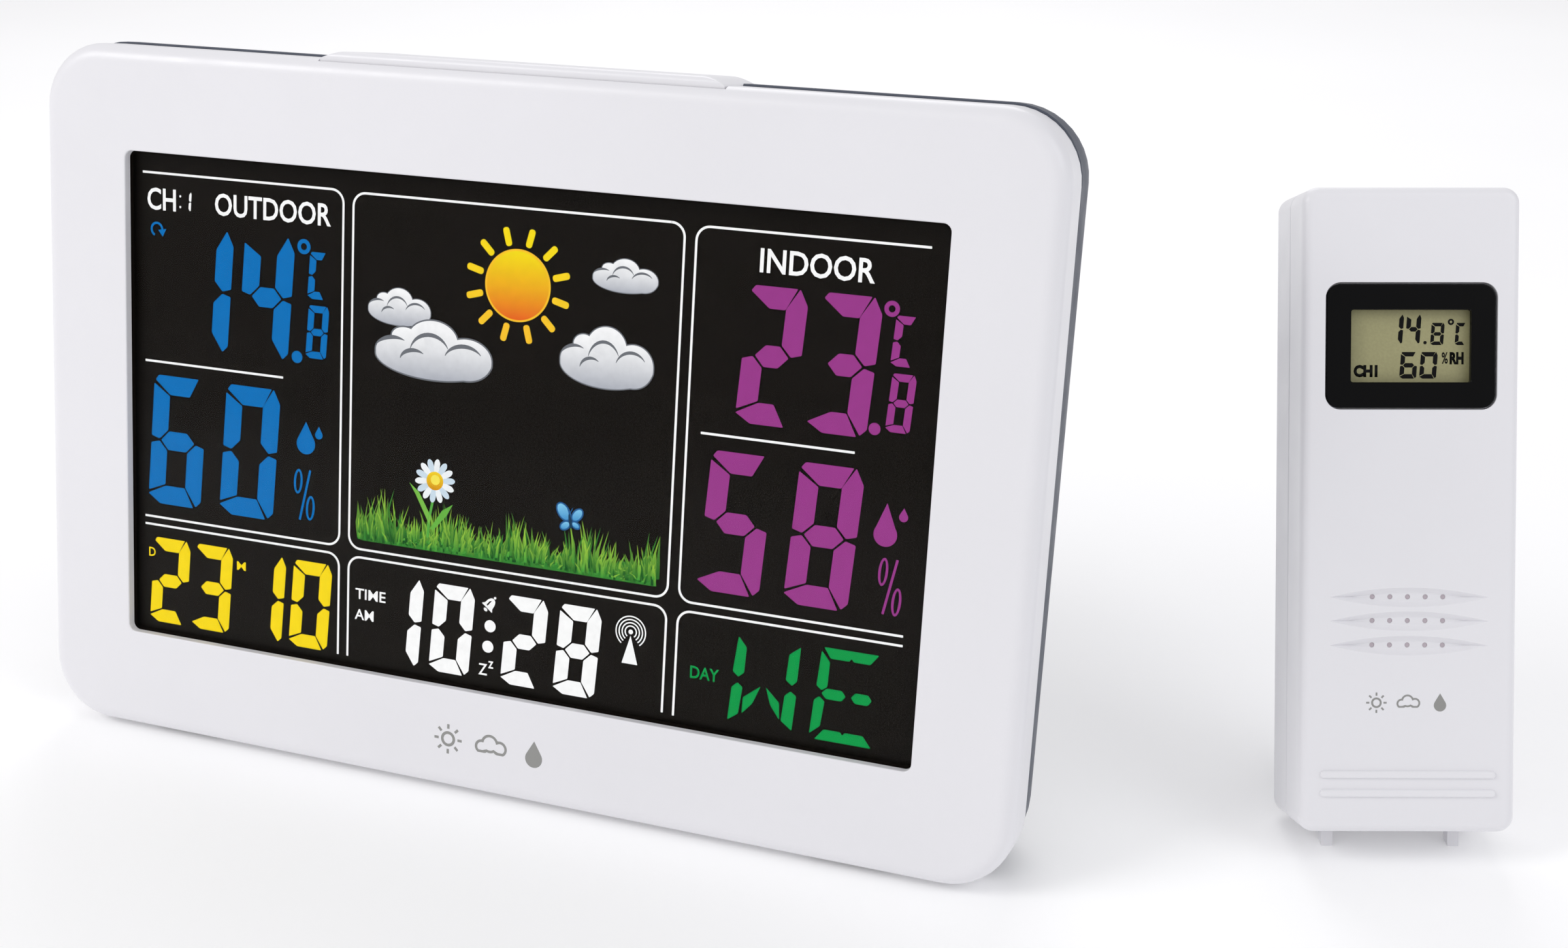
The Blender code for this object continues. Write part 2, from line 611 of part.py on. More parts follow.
def make_snooze_key(frame):
    def outline(top):
        slope = SNOOZE_HALF - SNOOZE_TOP_HALF
        half = SNOOZE_HALF - slope * (top - SNOOZE_BASE - 0.7) / (SNOOZE_TOP - SNOOZE_BASE - 0.7)
        low = SNOOZE_BASE
        return [
            (SNOOZE_HALF, low),
            (SNOOZE_HALF, low + 0.6),
            (half + 1.2, top - 0.25),
            (half, top),
            (-half, top),
            (-half - 1.2, top - 0.25),
            (-SNOOZE_HALF, low + 0.6),
            (-SNOOZE_HALF, low),
        ]

    steps = (
        (SNOOZE_FRONT, -1.0),
        (SNOOZE_FRONT + 0.5, -0.45),
        (SNOOZE_FRONT + 1.6, 0.0),
        (SNOOZE_BACK - 1.2, 0.0),
        (SNOOZE_BACK - 0.3, -0.4),
        (SNOOZE_BACK, -0.9),
    )
    cap = stack("Y", [(along, outline(SNOOZE_TOP + drop)) for along, drop in steps])
    key = add("snooze_key", cap, frame, "white_shell", (0.0, 12.5, SNOOZE_BASE))
    stems = [block((-3.0, 11.0, 125.1), (3.0, 14.0, SNOOZE_BASE + 0.4))]
    stems += [block((x - 1.0, 11.5, 128.0), (x + 1.0, 13.5, SNOOZE_BASE + 0.4)) for x in mirrored(30.0)]
    for stem in stems:
        join(key, stem)


def make_rear_keys(frame):
    names = (("mode", "channel"), ("up", "down"), ("alarm", "unit"))
    for x, pair in zip(KEY_COLUMNS, names):
        for z, label in zip(KEY_ROWS, pair):
            inner = DEPTH - REAR_WALL - GAP

            def outline(grow):
                return rounded_rect(KEY_WIDTH + grow, KEY_HEIGHT + grow, 1.2, (x, z), steps=2)

            steps = (
                (21.9, outline(0.0)),
                (inner - 1.0, outline(0.0)),
                (inner - 1.0, outline(2.4)),
                (inner, outline(2.4)),
                (inner, outline(0.0)),
                (DEPTH + KEY_PROUD - 0.4, outline(0.0)),
                (DEPTH + KEY_PROUD, outline(-0.8)),
            )
            add(f"{label}_key", stack("Y", steps), frame, "key_plastic", (x, DEPTH, z))


def make_battery_door(frame):
    inner = DEPTH - DOOR_THICK
    door = bay_block(BAY_WALL, inner, DEPTH)
    door = add("battery_door", door, frame, "slate_shell", (-58.5, DEPTH, 45.0))
    top = BAY_BOTTOM + BAY_HEIGHT - GAP
    join(door, block((-62.0, 22.4, top - 0.9), (-55.0, inner + 0.5, top)))
    cut(door, block((-63.0, DEPTH - 0.7, 60.4), (-54.0, BIG, 62.4)))  # finger notch


# Sensor


def sensor_outline(inset, bottom=0.0):
    width, height = SENSOR_WIDTH - 2 * inset, SENSOR_HEIGHT - 2 * inset
    centre = (0.0, SENSOR_HEIGHT / 2 + bottom)
    return rounded_rect(width, height, max(SENSOR_CORNER - inset, 0.6), centre, steps=4)


def lens_outline(length, height, centre_z, steps=6):
    """A flat pointed oval, as of a louvre."""
    points = []
    for sign in (1, -1):
        for i in range(steps):
            x = sign * length * (0.5 - i / steps)
            points.append((x, centre_z + sign * height / 2 * (1 - (2 * x / length) ** 2)))
    return points


def make_sensor_front(frame):
    steps = 4
    rings = [(SENSOR_SEAM, sensor_outline(0.0))]
    for i in range(steps + 1):
        angle = math.pi / 2 * i / steps
        rings.append(
            (SENSOR_ROUND * (1 - math.sin(angle)), sensor_outline(SENSOR_ROUND * (1 - math.cos(angle))))
        )
    shell = add("sensor_front_shell", stack("Y", rings), frame, "white_shell")
    cut(shell, prism("Y", sensor_outline(SENSOR_WALL), SENSOR_WALL, BIG))
    for z in RIDGE_ROWS:
        ridge = rounded_rect(RIDGE_LENGTH, RIDGE_HEIGHT, RIDGE_HEIGHT / 2, (0.0, z), steps=2)
        crest = rounded_rect(RIDGE_LENGTH - 0.8, RIDGE_HEIGHT - 0.8, 0.3, (0.0, z), steps=2)
        join(shell, stack("Y", ((-RIDGE_PROUD, crest), (0.0, ridge), (1.0, ridge))))
    for z in LOUVRE_ROWS:
        mouth = lens_outline(LOUVRE_LENGTH, LOUVRE_HEIGHT, z)
        floor = lens_outline(LOUVRE_LENGTH * 0.8, LOUVRE_HEIGHT * 0.4, z)
        cut(shell, stack("Y", ((-0.2, mouth), (0.0, mouth), (LOUVRE_DEEP, floor))))
    pinholes = [
        rod("Y", PINHOLE_RADIUS, (PINHOLE_PITCH * i, z), -1.0, SENSOR_WALL + 1, 6)
        for z in LOUVRE_ROWS
        for i in range(-2, 3)
    ]
    cut(shell, several(pinholes))
    centre = (0.0, SENSOR_WINDOW_Z)
    cut(shell, prism("Y", rounded_rect(*SENSOR_WINDOW, 2.7, centre, 4), -1.0, 1.5))
    opening = rounded_rect(SENSOR_VIEW[0] + 2, SENSOR_VIEW[1] + 2, 0.8, centre, 2)
    cut(shell, prism("Y", opening, 0.5, SENSOR_WALL + 1))


def make_sensor_rear(frame):
    start = SENSOR_SEAM + GAP
    rings = [
        (start, sensor_outline(0.0)),
        (SENSOR_DEPTH - 2.4, sensor_outline(0.0)),
        (SENSOR_DEPTH - 0.7, sensor_outline(0.7)),
        (SENSOR_DEPTH, sensor_outline(2.4)),
    ]
    shell = add("sensor_rear_shell", stack("Y", rings), frame, "white_shell")
    hollow = cut(shell, prism("Y", sensor_outline(SENSOR_WALL), start - 1, SENSOR_DEPTH - SENSOR_WALL))
    wall = SENSOR_DEPTH - SENSOR_WALL + 0.5
    cut(hollow, sensor_bay(BAY_WALL, start - 2, wall, PANEL_TOP))
    cut(hollow, leg_keep(SENSOR_LEG_WIDTH / 2 + 3.2, 15.0, SENSOR_BAY_BOTTOM, wall))
    cut(hollow, rod("Y", 2.6, SENSOR_SCREW, start, wall, 12))
    floor_front = SENSOR_BAY_FLOOR - 1.2
    join(shell, sensor_bay(BAY_WALL, floor_front, start + 0.6, SENSOR_BAY_BOTTOM + BAY_LENGTH))
    toes = []
    for x in mirrored(TOE_X):
        half = TOE_WIDTH / 2
        outline = [
            (TOE_FRONT, 1.0),
            (TOE_BACK, 1.0),
            (TOE_BACK, sensor_ground_at(TOE_BACK)),
            (TOE_FRONT, sensor_ground_at(TOE_FRONT)),
        ]
        toes.append(prism("X", outline, x - half, x + half))
    join(shell, several(toes))
    cut(shell, sensor_bay(0.0, SENSOR_BAY_FLOOR, BIG, SENSOR_BAY_BOTTOM + BAY_LENGTH))
    half = SENSOR_BAY_WIDTH / 2
    cut(shell, block((-half, PANEL_FLOOR, PANEL_BOTTOM), (half, BIG, PANEL_TOP)))
    door_seat = SENSOR_DEPTH - DOOR_THICK - GAP
    cut(shell, sensor_bay(BAY_WALL + GAP, door_seat, BIG, PANEL_TOP))
    cut_leg_pocket(
        shell,
        SENSOR_LEG_WIDTH,
        SENSOR_HINGE_Y,
        SENSOR_HINGE_Z,
        SENSOR_KNUCKLE,
        SENSOR_LEG_THICK,
        1.6,
    )
    first, last = SWITCH_FIRST - 0.6 - GAP, SWITCH_FIRST + SWITCH_TRAVEL + 0.6 + GAP
    slot = block((first, PANEL_FLOOR - 3, PANEL_ROW - 1.1), (last, BIG, PANEL_ROW + 1.1))
    hole = rod("Y", 1.9, (TRANSMIT_X, PANEL_ROW), PANEL_FLOOR - 3, BIG, 12)
    cut(shell, several([slot, hole]))
    cut(shell, rod("Y", 1.2, SENSOR_SCREW, start - 1, 16.0, 12))
    cut(shell, rod("Y", 2.2, SENSOR_SCREW, 15.5, BIG, 16))


def sensor_ground_at(y):
    return (y * math.sin(SENSOR_LEAN) - SENSOR_LIFT) / math.cos(SENSOR_LEAN)


def sensor_bay(grow, front, back, top):
    half = SENSOR_BAY_WIDTH / 2 + grow
    return block((-half, front, SENSOR_BAY_BOTTOM - grow), (half, back, top + grow))


def make_sensor_insides(frame):
    centre = (0.0, SENSOR_WINDOW_Z)
    width, height = SENSOR_WINDOW
    lens = rounded_rect(width - 2 * GAP, height - 2 * GAP, 2.4, centre, 4)
    window = add("sensor_window", prism("Y", lens, 0.1, 1.2), frame, "black_plastic")
    view = rounded_rect(*SENSOR_VIEW, 0.4, centre, 2)
    cut(window, prism("Y", view, -1.0, 2.0))
    half, tall = SENSOR_VIEW[0] / 2 + 3, SENSOR_VIEW[1] / 2 + 3
    low, high = SENSOR_WINDOW_Z - tall, SENSOR_WINDOW_Z + tall
    front = SENSOR_WALL + GAP
    add("sensor_lcd", block((-half, front, low), (half, front + 1.6, high)), frame, "sensor_glass")
    front = SENSOR_BOARD_FRONT
    board = block((-16.0, front, 46.0), (16.0, front + 1.0, 106.0))
    board = add("sensor_board", board, frame, "circuit_board")
    cut(board, rod("Y", 2.4, (0.0, SENSOR_SCREW[1]), 0.0, BIG, 12))
    chip = turned("Y", (0.0, 60.0), [(3.2, 3.2), (4.2, 4.6), (front - GAP, 4.6)], 16)
    add("sensor_chip", chip, frame, "black_plastic")
    add("sensor_antenna", sensor_antenna(), frame, "copper")
    probe = add("sensor_probe", block((-4.0, 6.0, 28.0), (4.0, 7.0, 40.0)), frame, "circuit_board")
    join(probe, block((-2.5, 4.2, 32.0), (2.5, 6.4, 38.0)))
    middle = SENSOR_BAY_FLOOR + GAP + CELL_RADIUS
    half_pitch = SENSOR_BAY_WIDTH / 4
    low, high = SENSOR_BAY_BOTTOM, SENSOR_BAY_BOTTOM + BAY_LENGTH
    plate_gap = GAP + CONTACT
    for side, sign in (("left", -1), ("right", 1)):
        nub, run = (high - plate_gap - GAP, -1) if sign < 0 else (low + plate_gap + GAP, 1)
        spot = (sign * half_pitch, middle)
        add(f"sensor_cell_{side}", turned("Z", spot, cell_profile(nub, run), 20), frame, "cell_wrap")
    reach = BAY_LENGTH - CELL_LENGTH - 4 * GAP - CONTACT
    for level, wall, run, sign in (("lower", low + GAP, 1, -1), ("upper", high - GAP, -1, 1)):
        ends = sorted((wall, wall + run * CONTACT))
        edge = SENSOR_BAY_WIDTH / 2 - 0.8
        plate = block((-edge, 9.4, ends[0]), (edge, 17.4, ends[1]))
        plate = add(f"sensor_contacts_{level}", plate, frame, "steel")
        spring = [(wall + run * 0.1, 3.4), (wall + run * reach, 2.3)]
        join(plate, turned("Z", (sign * half_pitch, middle), spring, 16))
    profile = [(4.2, 0.7), (4.6, 0.9), (15.8, 0.9), (15.8, 1.9), (16.6, 1.9), (17.1, 1.3)]
    add("sensor_screw", turned("Y", SENSOR_SCREW, profile, 12), frame, "steel")


def sensor_antenna():
    """A wire helix along the sensor's side, swept round its axis."""
    turns, per_turn, sides = 6, 8, 5
    radius, wire, pitch = 1.5, 0.3, 2.4
    centre = Vector((15.0, 11.6, 70.0))
    rings = []
    for i in range(turns * per_turn + 1):
        angle = 2 * math.pi * i / per_turn
        out = Vector((math.cos(angle), math.sin(angle), 0.0))
        at = centre + radius * out + Vector((0.0, 0.0, pitch * i / per_turn))
        ring = []
        for k in range(sides):
            around = 2 * math.pi * k / sides
            ring.append(at + wire * (math.cos(around) * out + Vector((0.0, 0.0, math.sin(around)))))
        rings.append(ring)
    return loft(rings)


def make_sensor_keys(frame):
    back = SENSOR_DEPTH - DOOR_THICK - 3 * GAP
    floor, row, x = PANEL_FLOOR, PANEL_ROW, SWITCH_FIRST
    knob = block((x - 1.0, floor + GAP, row - 1.8), (x + 1.0, back, row + 1.8))
    knob = add("channel_switch", knob, frame, "black_plastic", (x, floor, row))
    join(knob, block((x - 0.6, floor - 1.0, row - 0.8), (x + 0.6, floor + 1, row + 0.8)))
    spot = (TRANSMIT_X, row)
    profile = [(floor - 1.0, 1.5), (back - 0.2, 1.5), (back, 1.2)]
    add("transmit_key", turned("Y", spot, profile, 16), frame, "key_plastic", (TRANSMIT_X, floor, row))


def make_sensor_door(frame):
    inner = SENSOR_DEPTH - DOOR_THICK
    door = sensor_bay(BAY_WALL, inner, SENSOR_DEPTH, PANEL_TOP)
    door = add("sensor_battery_door", door, frame, "white_shell", (0.0, SENSOR_DEPTH, 72.0))
    cut(door, block((-5.0, SENSOR_DEPTH - 0.7, 100.0), (5.0, BIG, 102.2)))  # finger notch


def centre_set(roots):
    """Moves the two units so that the origin is the middle of their footprint."""
    bpy.context.view_layer.update()
    graph = bpy.context.evaluated_depsgraph_get()
    corners = []
    for piece in bpy.context.scene.objects:
        if piece.type == "MESH" and not piece.hide_render:
            shown = piece.evaluated_get(graph)
            corners += [shown.matrix_world @ vert.co for vert in shown.data.vertices]
    for axis in (0, 1):
        values = [corner[axis] for corner in corners]
        middle = (min(values) + max(values)) / 2
        for root in roots:
            root.location[axis] -= middle
    bpy.context.view_layer.update()


def main():
    clear_scene()
    console = empty("console_frame", (0.0, 0.0, console_lift()), (-LEAN, 0.0, 0.0))
    sensor = empty("sensor_frame", (SENSOR_X, SENSOR_Y, SENSOR_LIFT), (0.0, 0.0, SENSOR_TURN))
    leaning = empty("sensor_lean", (0.0, 0.0, 0.0), (-SENSOR_LEAN, 0.0, 0.0), sensor)

    make_bezel(console)
    make_rear_housing(console)
    make_feet(console)
    make_display(console)
    make_electronics(console)
    make_key_parts(console)
    make_battery(console)
    make_console_screws(console)
    make_snooze_key(console)
    make_rear_keys(console)
    make_battery_door(console)
    make_leg(
        "console_leg",
        "console_leg_pin",
        console,
        "slate_shell",
        CONSOLE_LEG_WIDTH,
        CONSOLE_LEG_LENGTH,
        LEG_THICK,
        (CONSOLE_HINGE_Y, CONSOLE_HINGE_Z),
        KNUCKLE,
        console_height(CONSOLE_HINGE_Y, CONSOLE_HINGE_Z),
        LEAN,
        1.9,
    )

    make_sensor_front(leaning)
    make_sensor_rear(leaning)
    make_sensor_insides(leaning)
    make_sensor_keys(leaning)
    make_sensor_door(leaning)
    make_leg(
        "sensor_leg",
        "sensor_leg_pin",
        leaning,
        "white_shell",
        SENSOR_LEG_WIDTH,
        SENSOR_LEG_LENGTH,
        SENSOR_LEG_THICK,
        (SENSOR_HINGE_Y, SENSOR_HINGE_Z),
        SENSOR_KNUCKLE,
        sensor_height(SENSOR_HINGE_Y, SENSOR_HINGE_Z),
        SENSOR_LEAN,
        1.6,
    )
    centre_set((console, sensor))


main()
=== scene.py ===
"""The looks of the home weather station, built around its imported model.

Each unit's pieces are drawn in that unit's own frame, in millimetres: X right, Y from the front face to
the back, Z up from the front face's lower edge. The frames come from the record's joints. The display's
graphics are drawn in millimetres on the display's own sheet, from its lower left corner.
"""

import json
import math
import random

import bmesh
import bpy
from mathutils import Matrix, Vector


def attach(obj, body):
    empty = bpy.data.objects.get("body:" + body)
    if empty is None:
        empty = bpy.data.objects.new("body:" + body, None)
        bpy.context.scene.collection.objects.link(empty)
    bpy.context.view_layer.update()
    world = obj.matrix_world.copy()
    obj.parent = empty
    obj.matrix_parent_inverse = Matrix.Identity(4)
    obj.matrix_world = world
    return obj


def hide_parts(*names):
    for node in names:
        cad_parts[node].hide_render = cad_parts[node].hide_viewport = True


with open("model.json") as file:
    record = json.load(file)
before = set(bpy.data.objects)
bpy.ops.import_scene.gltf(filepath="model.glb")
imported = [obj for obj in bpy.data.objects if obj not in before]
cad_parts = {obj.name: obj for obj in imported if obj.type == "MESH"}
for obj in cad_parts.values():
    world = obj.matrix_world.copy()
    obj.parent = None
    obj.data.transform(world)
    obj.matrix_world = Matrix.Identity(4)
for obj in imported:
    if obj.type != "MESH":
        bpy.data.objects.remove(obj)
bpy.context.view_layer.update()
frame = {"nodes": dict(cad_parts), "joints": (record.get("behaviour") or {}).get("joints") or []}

MM = 0.001
GAP = 0.3
BIG = 60.0
NODES = frame["nodes"]
JOINTS = {joint["name"]: joint for joint in frame["joints"]}


def unit_matrix(leg_joint, door_joint, hinge_y, hinge_z):
    """From a unit's own millimetres to the world, from its leg's hinge and its battery door's way out."""
    right = Vector(JOINTS[leg_joint]["axis"]).normalized()
    back = Vector(JOINTS[door_joint]["axis"]).normalized()
    up = right.cross(back)
    origin = Vector(JOINTS[leg_joint]["pos_m"]) - (back * hinge_y + up * hinge_z) * MM
    columns = Matrix((right * MM, back * MM, up * MM)).transposed().to_4x4()
    return Matrix.Translation(origin) @ columns


# Console
WIDTH, HEIGHT, DEPTH = 200.0, 134.0, 26.0
CORNER = 12.5
BEZEL_DEPTH, EDGE_ROUND, BEZEL_WALL, FACE_WALL = 9.0, 3.0, 2.2, 2.4
WINDOW_WIDTH, WINDOW_HEIGHT, WINDOW_Z, WINDOW_DEEP = 162.3, 94.6, 67.2, 1.6
REAR_TOP_STEP, REAR_FOOT_STEP = 0.4, 1.0
REAR_BAND, REAR_INSET, REAR_WALL, REAR_TAPER = 12.8, 8.6, 2.0, 0.006
LIP_INSET, LIP_INNER, LIP_FRONT = 2.5, 3.7, 6.9
SCREW_X, SCREW_LOW, SCREW_HIGH = 92.0, 11.0, 123.0
BAY_LEFT, BAY_BOTTOM, BAY_LENGTH, BAY_HEIGHT, BAY_WALL = -84.0, 28.0, 51.0, 34.3, 1.4
BAY_FLOOR, DOOR_THICK = 13.4, 1.6
RIB_PITCH, RIB_HEIGHT = 1.6, 0.7
KEY_WIDTH, KEY_HEIGHT, KEY_PROUD = 9.0, 5.0, 0.9
KEY_COLUMNS, KEY_ROWS = (46.0, 60.0, 74.0), (92.0, 78.0)
KEY_NAMES = (("mode", "channel"), ("up", "down"), ("alarm", "unit"))
SNOOZE_HALF, SNOOZE_TOP_HALF = 39.5, 35.0
SNOOZE_BASE, SNOOZE_TOP = HEIGHT - 0.7, HEIGHT + 1.4
SNOOZE_FRONT, SNOOZE_BACK, SNOOZE_FLOOR = 1.6, 17.0, HEIGHT - 1.6
LEG = {"length": 61.0, "width": 44.0, "thick": 3.0, "hinge": (23.9, 62.0), "knuckle": 2.3, "side": 1.9}
PIN_RADIUS, LEG_FRONT_SHARE = 1.1, 0.4
POST_RADIUS, PILOT_RADIUS, HEAD_BORE, BOSS_RADIUS = 3.2, 1.5, 2.9, 3.6
JACK_RING, JACK_BORE, JACK_PIN, JACK_HALF = 4.0, 2.8, 0.8, 4.5
KEY_FRONT, KEY_FLANGE, MARK_DEEP, MARK_LINE = 21.9, 2.4, 0.25, 0.42
SUPPORT, SMALL_ROUND = 0.3, 0.25
FOOT_Y, FOOT_LENGTH, FOOT_WIDTH, FOOT_POCKET, FOOT_X = 6.6, 3.6, 14.0, 0.9, 70.0
JACK = (78.0, 24.0)
BUZZER, GRILLE_PITCH = (62.0, 44.0), 3.0
VENTS, VENT_LEFT, VENT_RIGHT, VENT_FIRST, VENT_PITCH, VENT_HEIGHT = 6, -80.0, -50.0, 86.0, 3.4, 1.5
KEYHOLE_Z, KEYHOLE_RADIUS, KEYHOLE_SLOT, KEYHOLE_TOP = 96.0, 5.2, 1.9, 107.0

# Sensor
SENSOR_WIDTH, SENSOR_HEIGHT, SENSOR_DEPTH = 38.0, 113.5, 21.0
SENSOR_CORNER, SENSOR_ROUND, SENSOR_SEAM, SENSOR_WALL = 2.8, 1.6, 9.5, 1.8
SENSOR_WINDOW, SENSOR_WINDOW_Z, SENSOR_VIEW = (30.1, 22.3), 85.7, (21.0, 12.7)
LOUVRE_ROWS, LOUVRE_LENGTH, LOUVRE_HEIGHT, LOUVRE_DEEP = (33.1, 37.4, 41.6), 28.0, 3.4, 1.0
PINHOLE_PITCH, PINHOLE_RADIUS = 3.1, 0.45
RIDGE_ROWS, RIDGE_LENGTH, RIDGE_HEIGHT, RIDGE_PROUD = (7.0, 10.3), 30.9, 1.4, 0.5
SENSOR_BAY_BOTTOM, SENSOR_BAY_WIDTH, SENSOR_BAY_FLOOR = 43.0, 22.6, 8.0
PANEL_BOTTOM, PANEL_TOP, PANEL_FLOOR, PANEL_ROW = 95.2, 102.8, 16.4, 99.0
SWITCH_FIRST, SWITCH_TRAVEL, TRANSMIT_X = -5.6, 4.0, 6.0
SENSOR_LEG = {"length": 38.2, "width": 22.0, "thick": 2.4, "hinge": (19.1, 38.6), "knuckle": 1.8, "side": 1.6}
SENSOR_SCREW = (0.0, 108.4)
SENSOR_REAR_ROUND = 2.4
TOE_X, TOE_FRONT, TOE_BACK, TOE_WIDTH = 11.4, 10.2, 12.6, 2.0

CONSOLE = unit_matrix("console_leg_fold", "battery_door_off", *LEG["hinge"])
SENSOR = unit_matrix("sensor_leg_fold", "sensor_door_off", *SENSOR_LEG["hinge"])

# Outlines are lists of (a, b) points, and shapes are bmeshes in a unit's millimetres.


def rounded_rect(width, height, radius, centre=(0.0, 0.0), steps=10):
    """Points of a rectangle with round corners, the same number for any size."""
    points = []
    for corner, (sx, sz) in enumerate(((1, 1), (-1, 1), (-1, -1), (1, -1))):
        for i in range(steps + 1):
            angle = math.pi / 2 * (corner + i / steps)
            x = sx * (width / 2 - radius) + radius * math.cos(angle)
            z = sz * (height / 2 - radius) + radius * math.sin(angle)
            points.append((centre[0] + x, centre[1] + z))
    return points


def oval(centre, across, up, sides=40, turn=0.0):
    """An ellipse, turned about its centre."""
    points = []
    for i in range(sides):
        angle = 2 * math.pi * i / sides
        x, z = across * math.cos(angle), up * math.sin(angle)
        points.append(
            (
                centre[0] + x * math.cos(turn) - z * math.sin(turn),
                centre[1] + x * math.sin(turn) + z * math.cos(turn),
            )
        )
    return points


def circle(radius, centre=(0.0, 0.0), sides=40):
    return oval(centre, radius, radius, sides)


def place(axis, along, point):
    a, b = point
    return {"X": (along, a, b), "Y": (a, along, b), "Z": (a, b, along)}[axis]


def loft(rings, closed=False):
    """A solid through rings of equally many points; closed joins the last ring to the first."""
    shape = bmesh.new()
    made = [[shape.verts.new(point) for point in ring] for ring in rings]
    count = len(rings[0])
    pairs = list(zip(made, made[1:])) + ([(made[-1], made[0])] if closed else [])
    for lower, upper in pairs:
        for i in range(count):
            j = (i + 1) % count
            shape.faces.new((lower[i], lower[j], upper[j], upper[i]))
    if not closed:
        shape.faces.new(made[0])
        shape.faces.new(made[-1])
    bmesh.ops.recalc_face_normals(shape, faces=shape.faces)
    return shape


def stack(axis, steps, closed=False):
    """A solid along an axis from (distance, outline) steps."""
    return loft([[place(axis, along, point) for point in outline] for along, outline in steps], closed)


def prism(axis, outline, start, end):
    return stack(axis, ((start, outline), (end, outline)))


def rod(axis, radius, centre, start, end, sides=40):
    return prism(axis, circle(radius, centre, sides), start, end)


def turned(axis, centre, profile, sides=40):
    return stack(axis, [(along, circle(radius, centre, sides)) for along, radius in profile])


def block(low, high):
    outline = ((low[0], low[2]), (high[0], low[2]), (high[0], high[2]), (low[0], high[2]))
    return prism("Y", outline, low[1], high[1])


def several(shapes):
    """Shapes in one bmesh."""
    joined = bmesh.new()
    for shape in shapes:
        mesh = bpy.data.meshes.new("scrap")
        shape.to_mesh(mesh)
        shape.free()
        joined.from_mesh(mesh)
        bpy.data.meshes.remove(mesh)
    return joined


def mirrored(x):
    return (-x, x)


def start(name, shape):
    """A piece still in its unit's millimetres, ready to be carved."""
    mesh = bpy.data.meshes.new(name)
    shape.to_mesh(mesh)
    shape.free()
    piece = bpy.data.objects.new(name, mesh)
    bpy.context.scene.collection.objects.link(piece)
    return piece


def carve(piece, shape, operation="DIFFERENCE"):
    """Takes a shape from a piece, or joins it on."""
    helper = start("helper", shape)
    boolean = piece.modifiers.new("carve", "BOOLEAN")
    boolean.operation = operation
    boolean.solver = "EXACT"
    boolean.object = helper
    graph = bpy.context.evaluated_depsgraph_get()
    made = bpy.data.meshes.new_from_object(piece.evaluated_get(graph), depsgraph=graph)
    piece.modifiers.clear()
    worn = piece.data
    piece.data = made
    bpy.data.meshes.remove(worn)
    spent = helper.data
    bpy.data.objects.remove(helper)
    bpy.data.meshes.remove(spent)


def taken(piece):
    """A carved piece's shape, with the piece itself removed."""
    shape = bmesh.new()
    shape.from_mesh(piece.data)
    bpy.data.objects.remove(piece)
    return shape


def finish(piece, unit, body, material, stands_for=(), bevel=0.0, sharp=32.0):
    """Puts a piece in the world on its body, with softened edges and its material."""
    mesh = piece.data
    mesh.transform(unit)
    mesh.materials.clear()
    mesh.materials.append(material)
    mesh.shade_smooth()
    mesh.set_sharp_from_angle(angle=math.radians(sharp))
    mesh.name = piece.name
    if bevel:
        soften = piece.modifiers.new("edge", "BEVEL")
        soften.width = bevel * MM
        soften.segments = 2
        soften.limit_method = "ANGLE"
        soften.angle_limit = math.radians(sharp)
        soften.miter_outer = "MITER_ARC"
    even = piece.modifiers.new("even", "WEIGHTED_NORMAL")
    even.keep_sharp = True
    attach(piece, body)
    if stands_for:
        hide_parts(*stands_for)


# Materials. Texture scales are in repeats per metre, and bump depths in millimetres.


def principled(name, colour, roughness, metallic=0.0, **sockets):
    """A material, its node tree and its shader; sockets are more inputs of the shader by name."""
    made = bpy.data.materials.new(name)
    made.use_nodes = True
    shader = made.node_tree.nodes["Principled BSDF"]
    shader.inputs["Base Color"].default_value = (*colour, 1.0)
    shader.inputs["Roughness"].default_value = roughness
    shader.inputs["Metallic"].default_value = metallic
    for key, value in sockets.items():
        shader.inputs[key.replace("_", " ")].default_value = value
    return made, made.node_tree, shader


def noise(tree, scale, detail=3.0, stretch=(1.0, 1.0, 1.0)):
    """Noise in the world's metres, from 0 to 1."""
    coords = tree.nodes.new("ShaderNodeTexCoord")
    mapping = tree.nodes.new("ShaderNodeMapping")
    mapping.inputs["Scale"].default_value = stretch
    texture = tree.nodes.new("ShaderNodeTexNoise")
    texture.inputs["Scale"].default_value = scale
    texture.inputs["Detail"].default_value = detail
    tree.links.new(coords.outputs["Object"], mapping.inputs["Vector"])
    tree.links.new(mapping.outputs["Vector"], texture.inputs["Vector"])
    return texture.outputs["Fac"]


def cells(tree, scale, feature="F1"):
    """Distance to the middles, or the edges, of a cell pattern."""
    coords = tree.nodes.new("ShaderNodeTexCoord")
    texture = tree.nodes.new("ShaderNodeTexVoronoi")
    texture.feature = feature
    texture.inputs["Scale"].default_value = scale
    tree.links.new(coords.outputs["Object"], texture.inputs["Vector"])
    return texture.outputs["Distance"]


def ramp(tree, factor, *stops):
    """A colour from a factor by (position, colour) stops."""
    node = tree.nodes.new("ShaderNodeValToRGB")
    elements = node.color_ramp.elements
    while len(elements) < len(stops):
        elements.new(0.5)
    for element, (position, colour) in zip(elements, stops):
        element.position = position
        element.color = (*colour, 1.0)
    tree.links.new(factor, node.inputs["Fac"])
    return node.outputs["Color"]


def spread(tree, factor, low, high):
    """A value from low to high over the middle of a noise's range."""
    node = tree.nodes.new("ShaderNodeMapRange")
    for key, value in (("From Min", 0.3), ("From Max", 0.7), ("To Min", low), ("To Max", high)):
        node.inputs[key].default_value = value
    tree.links.new(factor, node.inputs["Value"])
    return node.outputs["Result"]


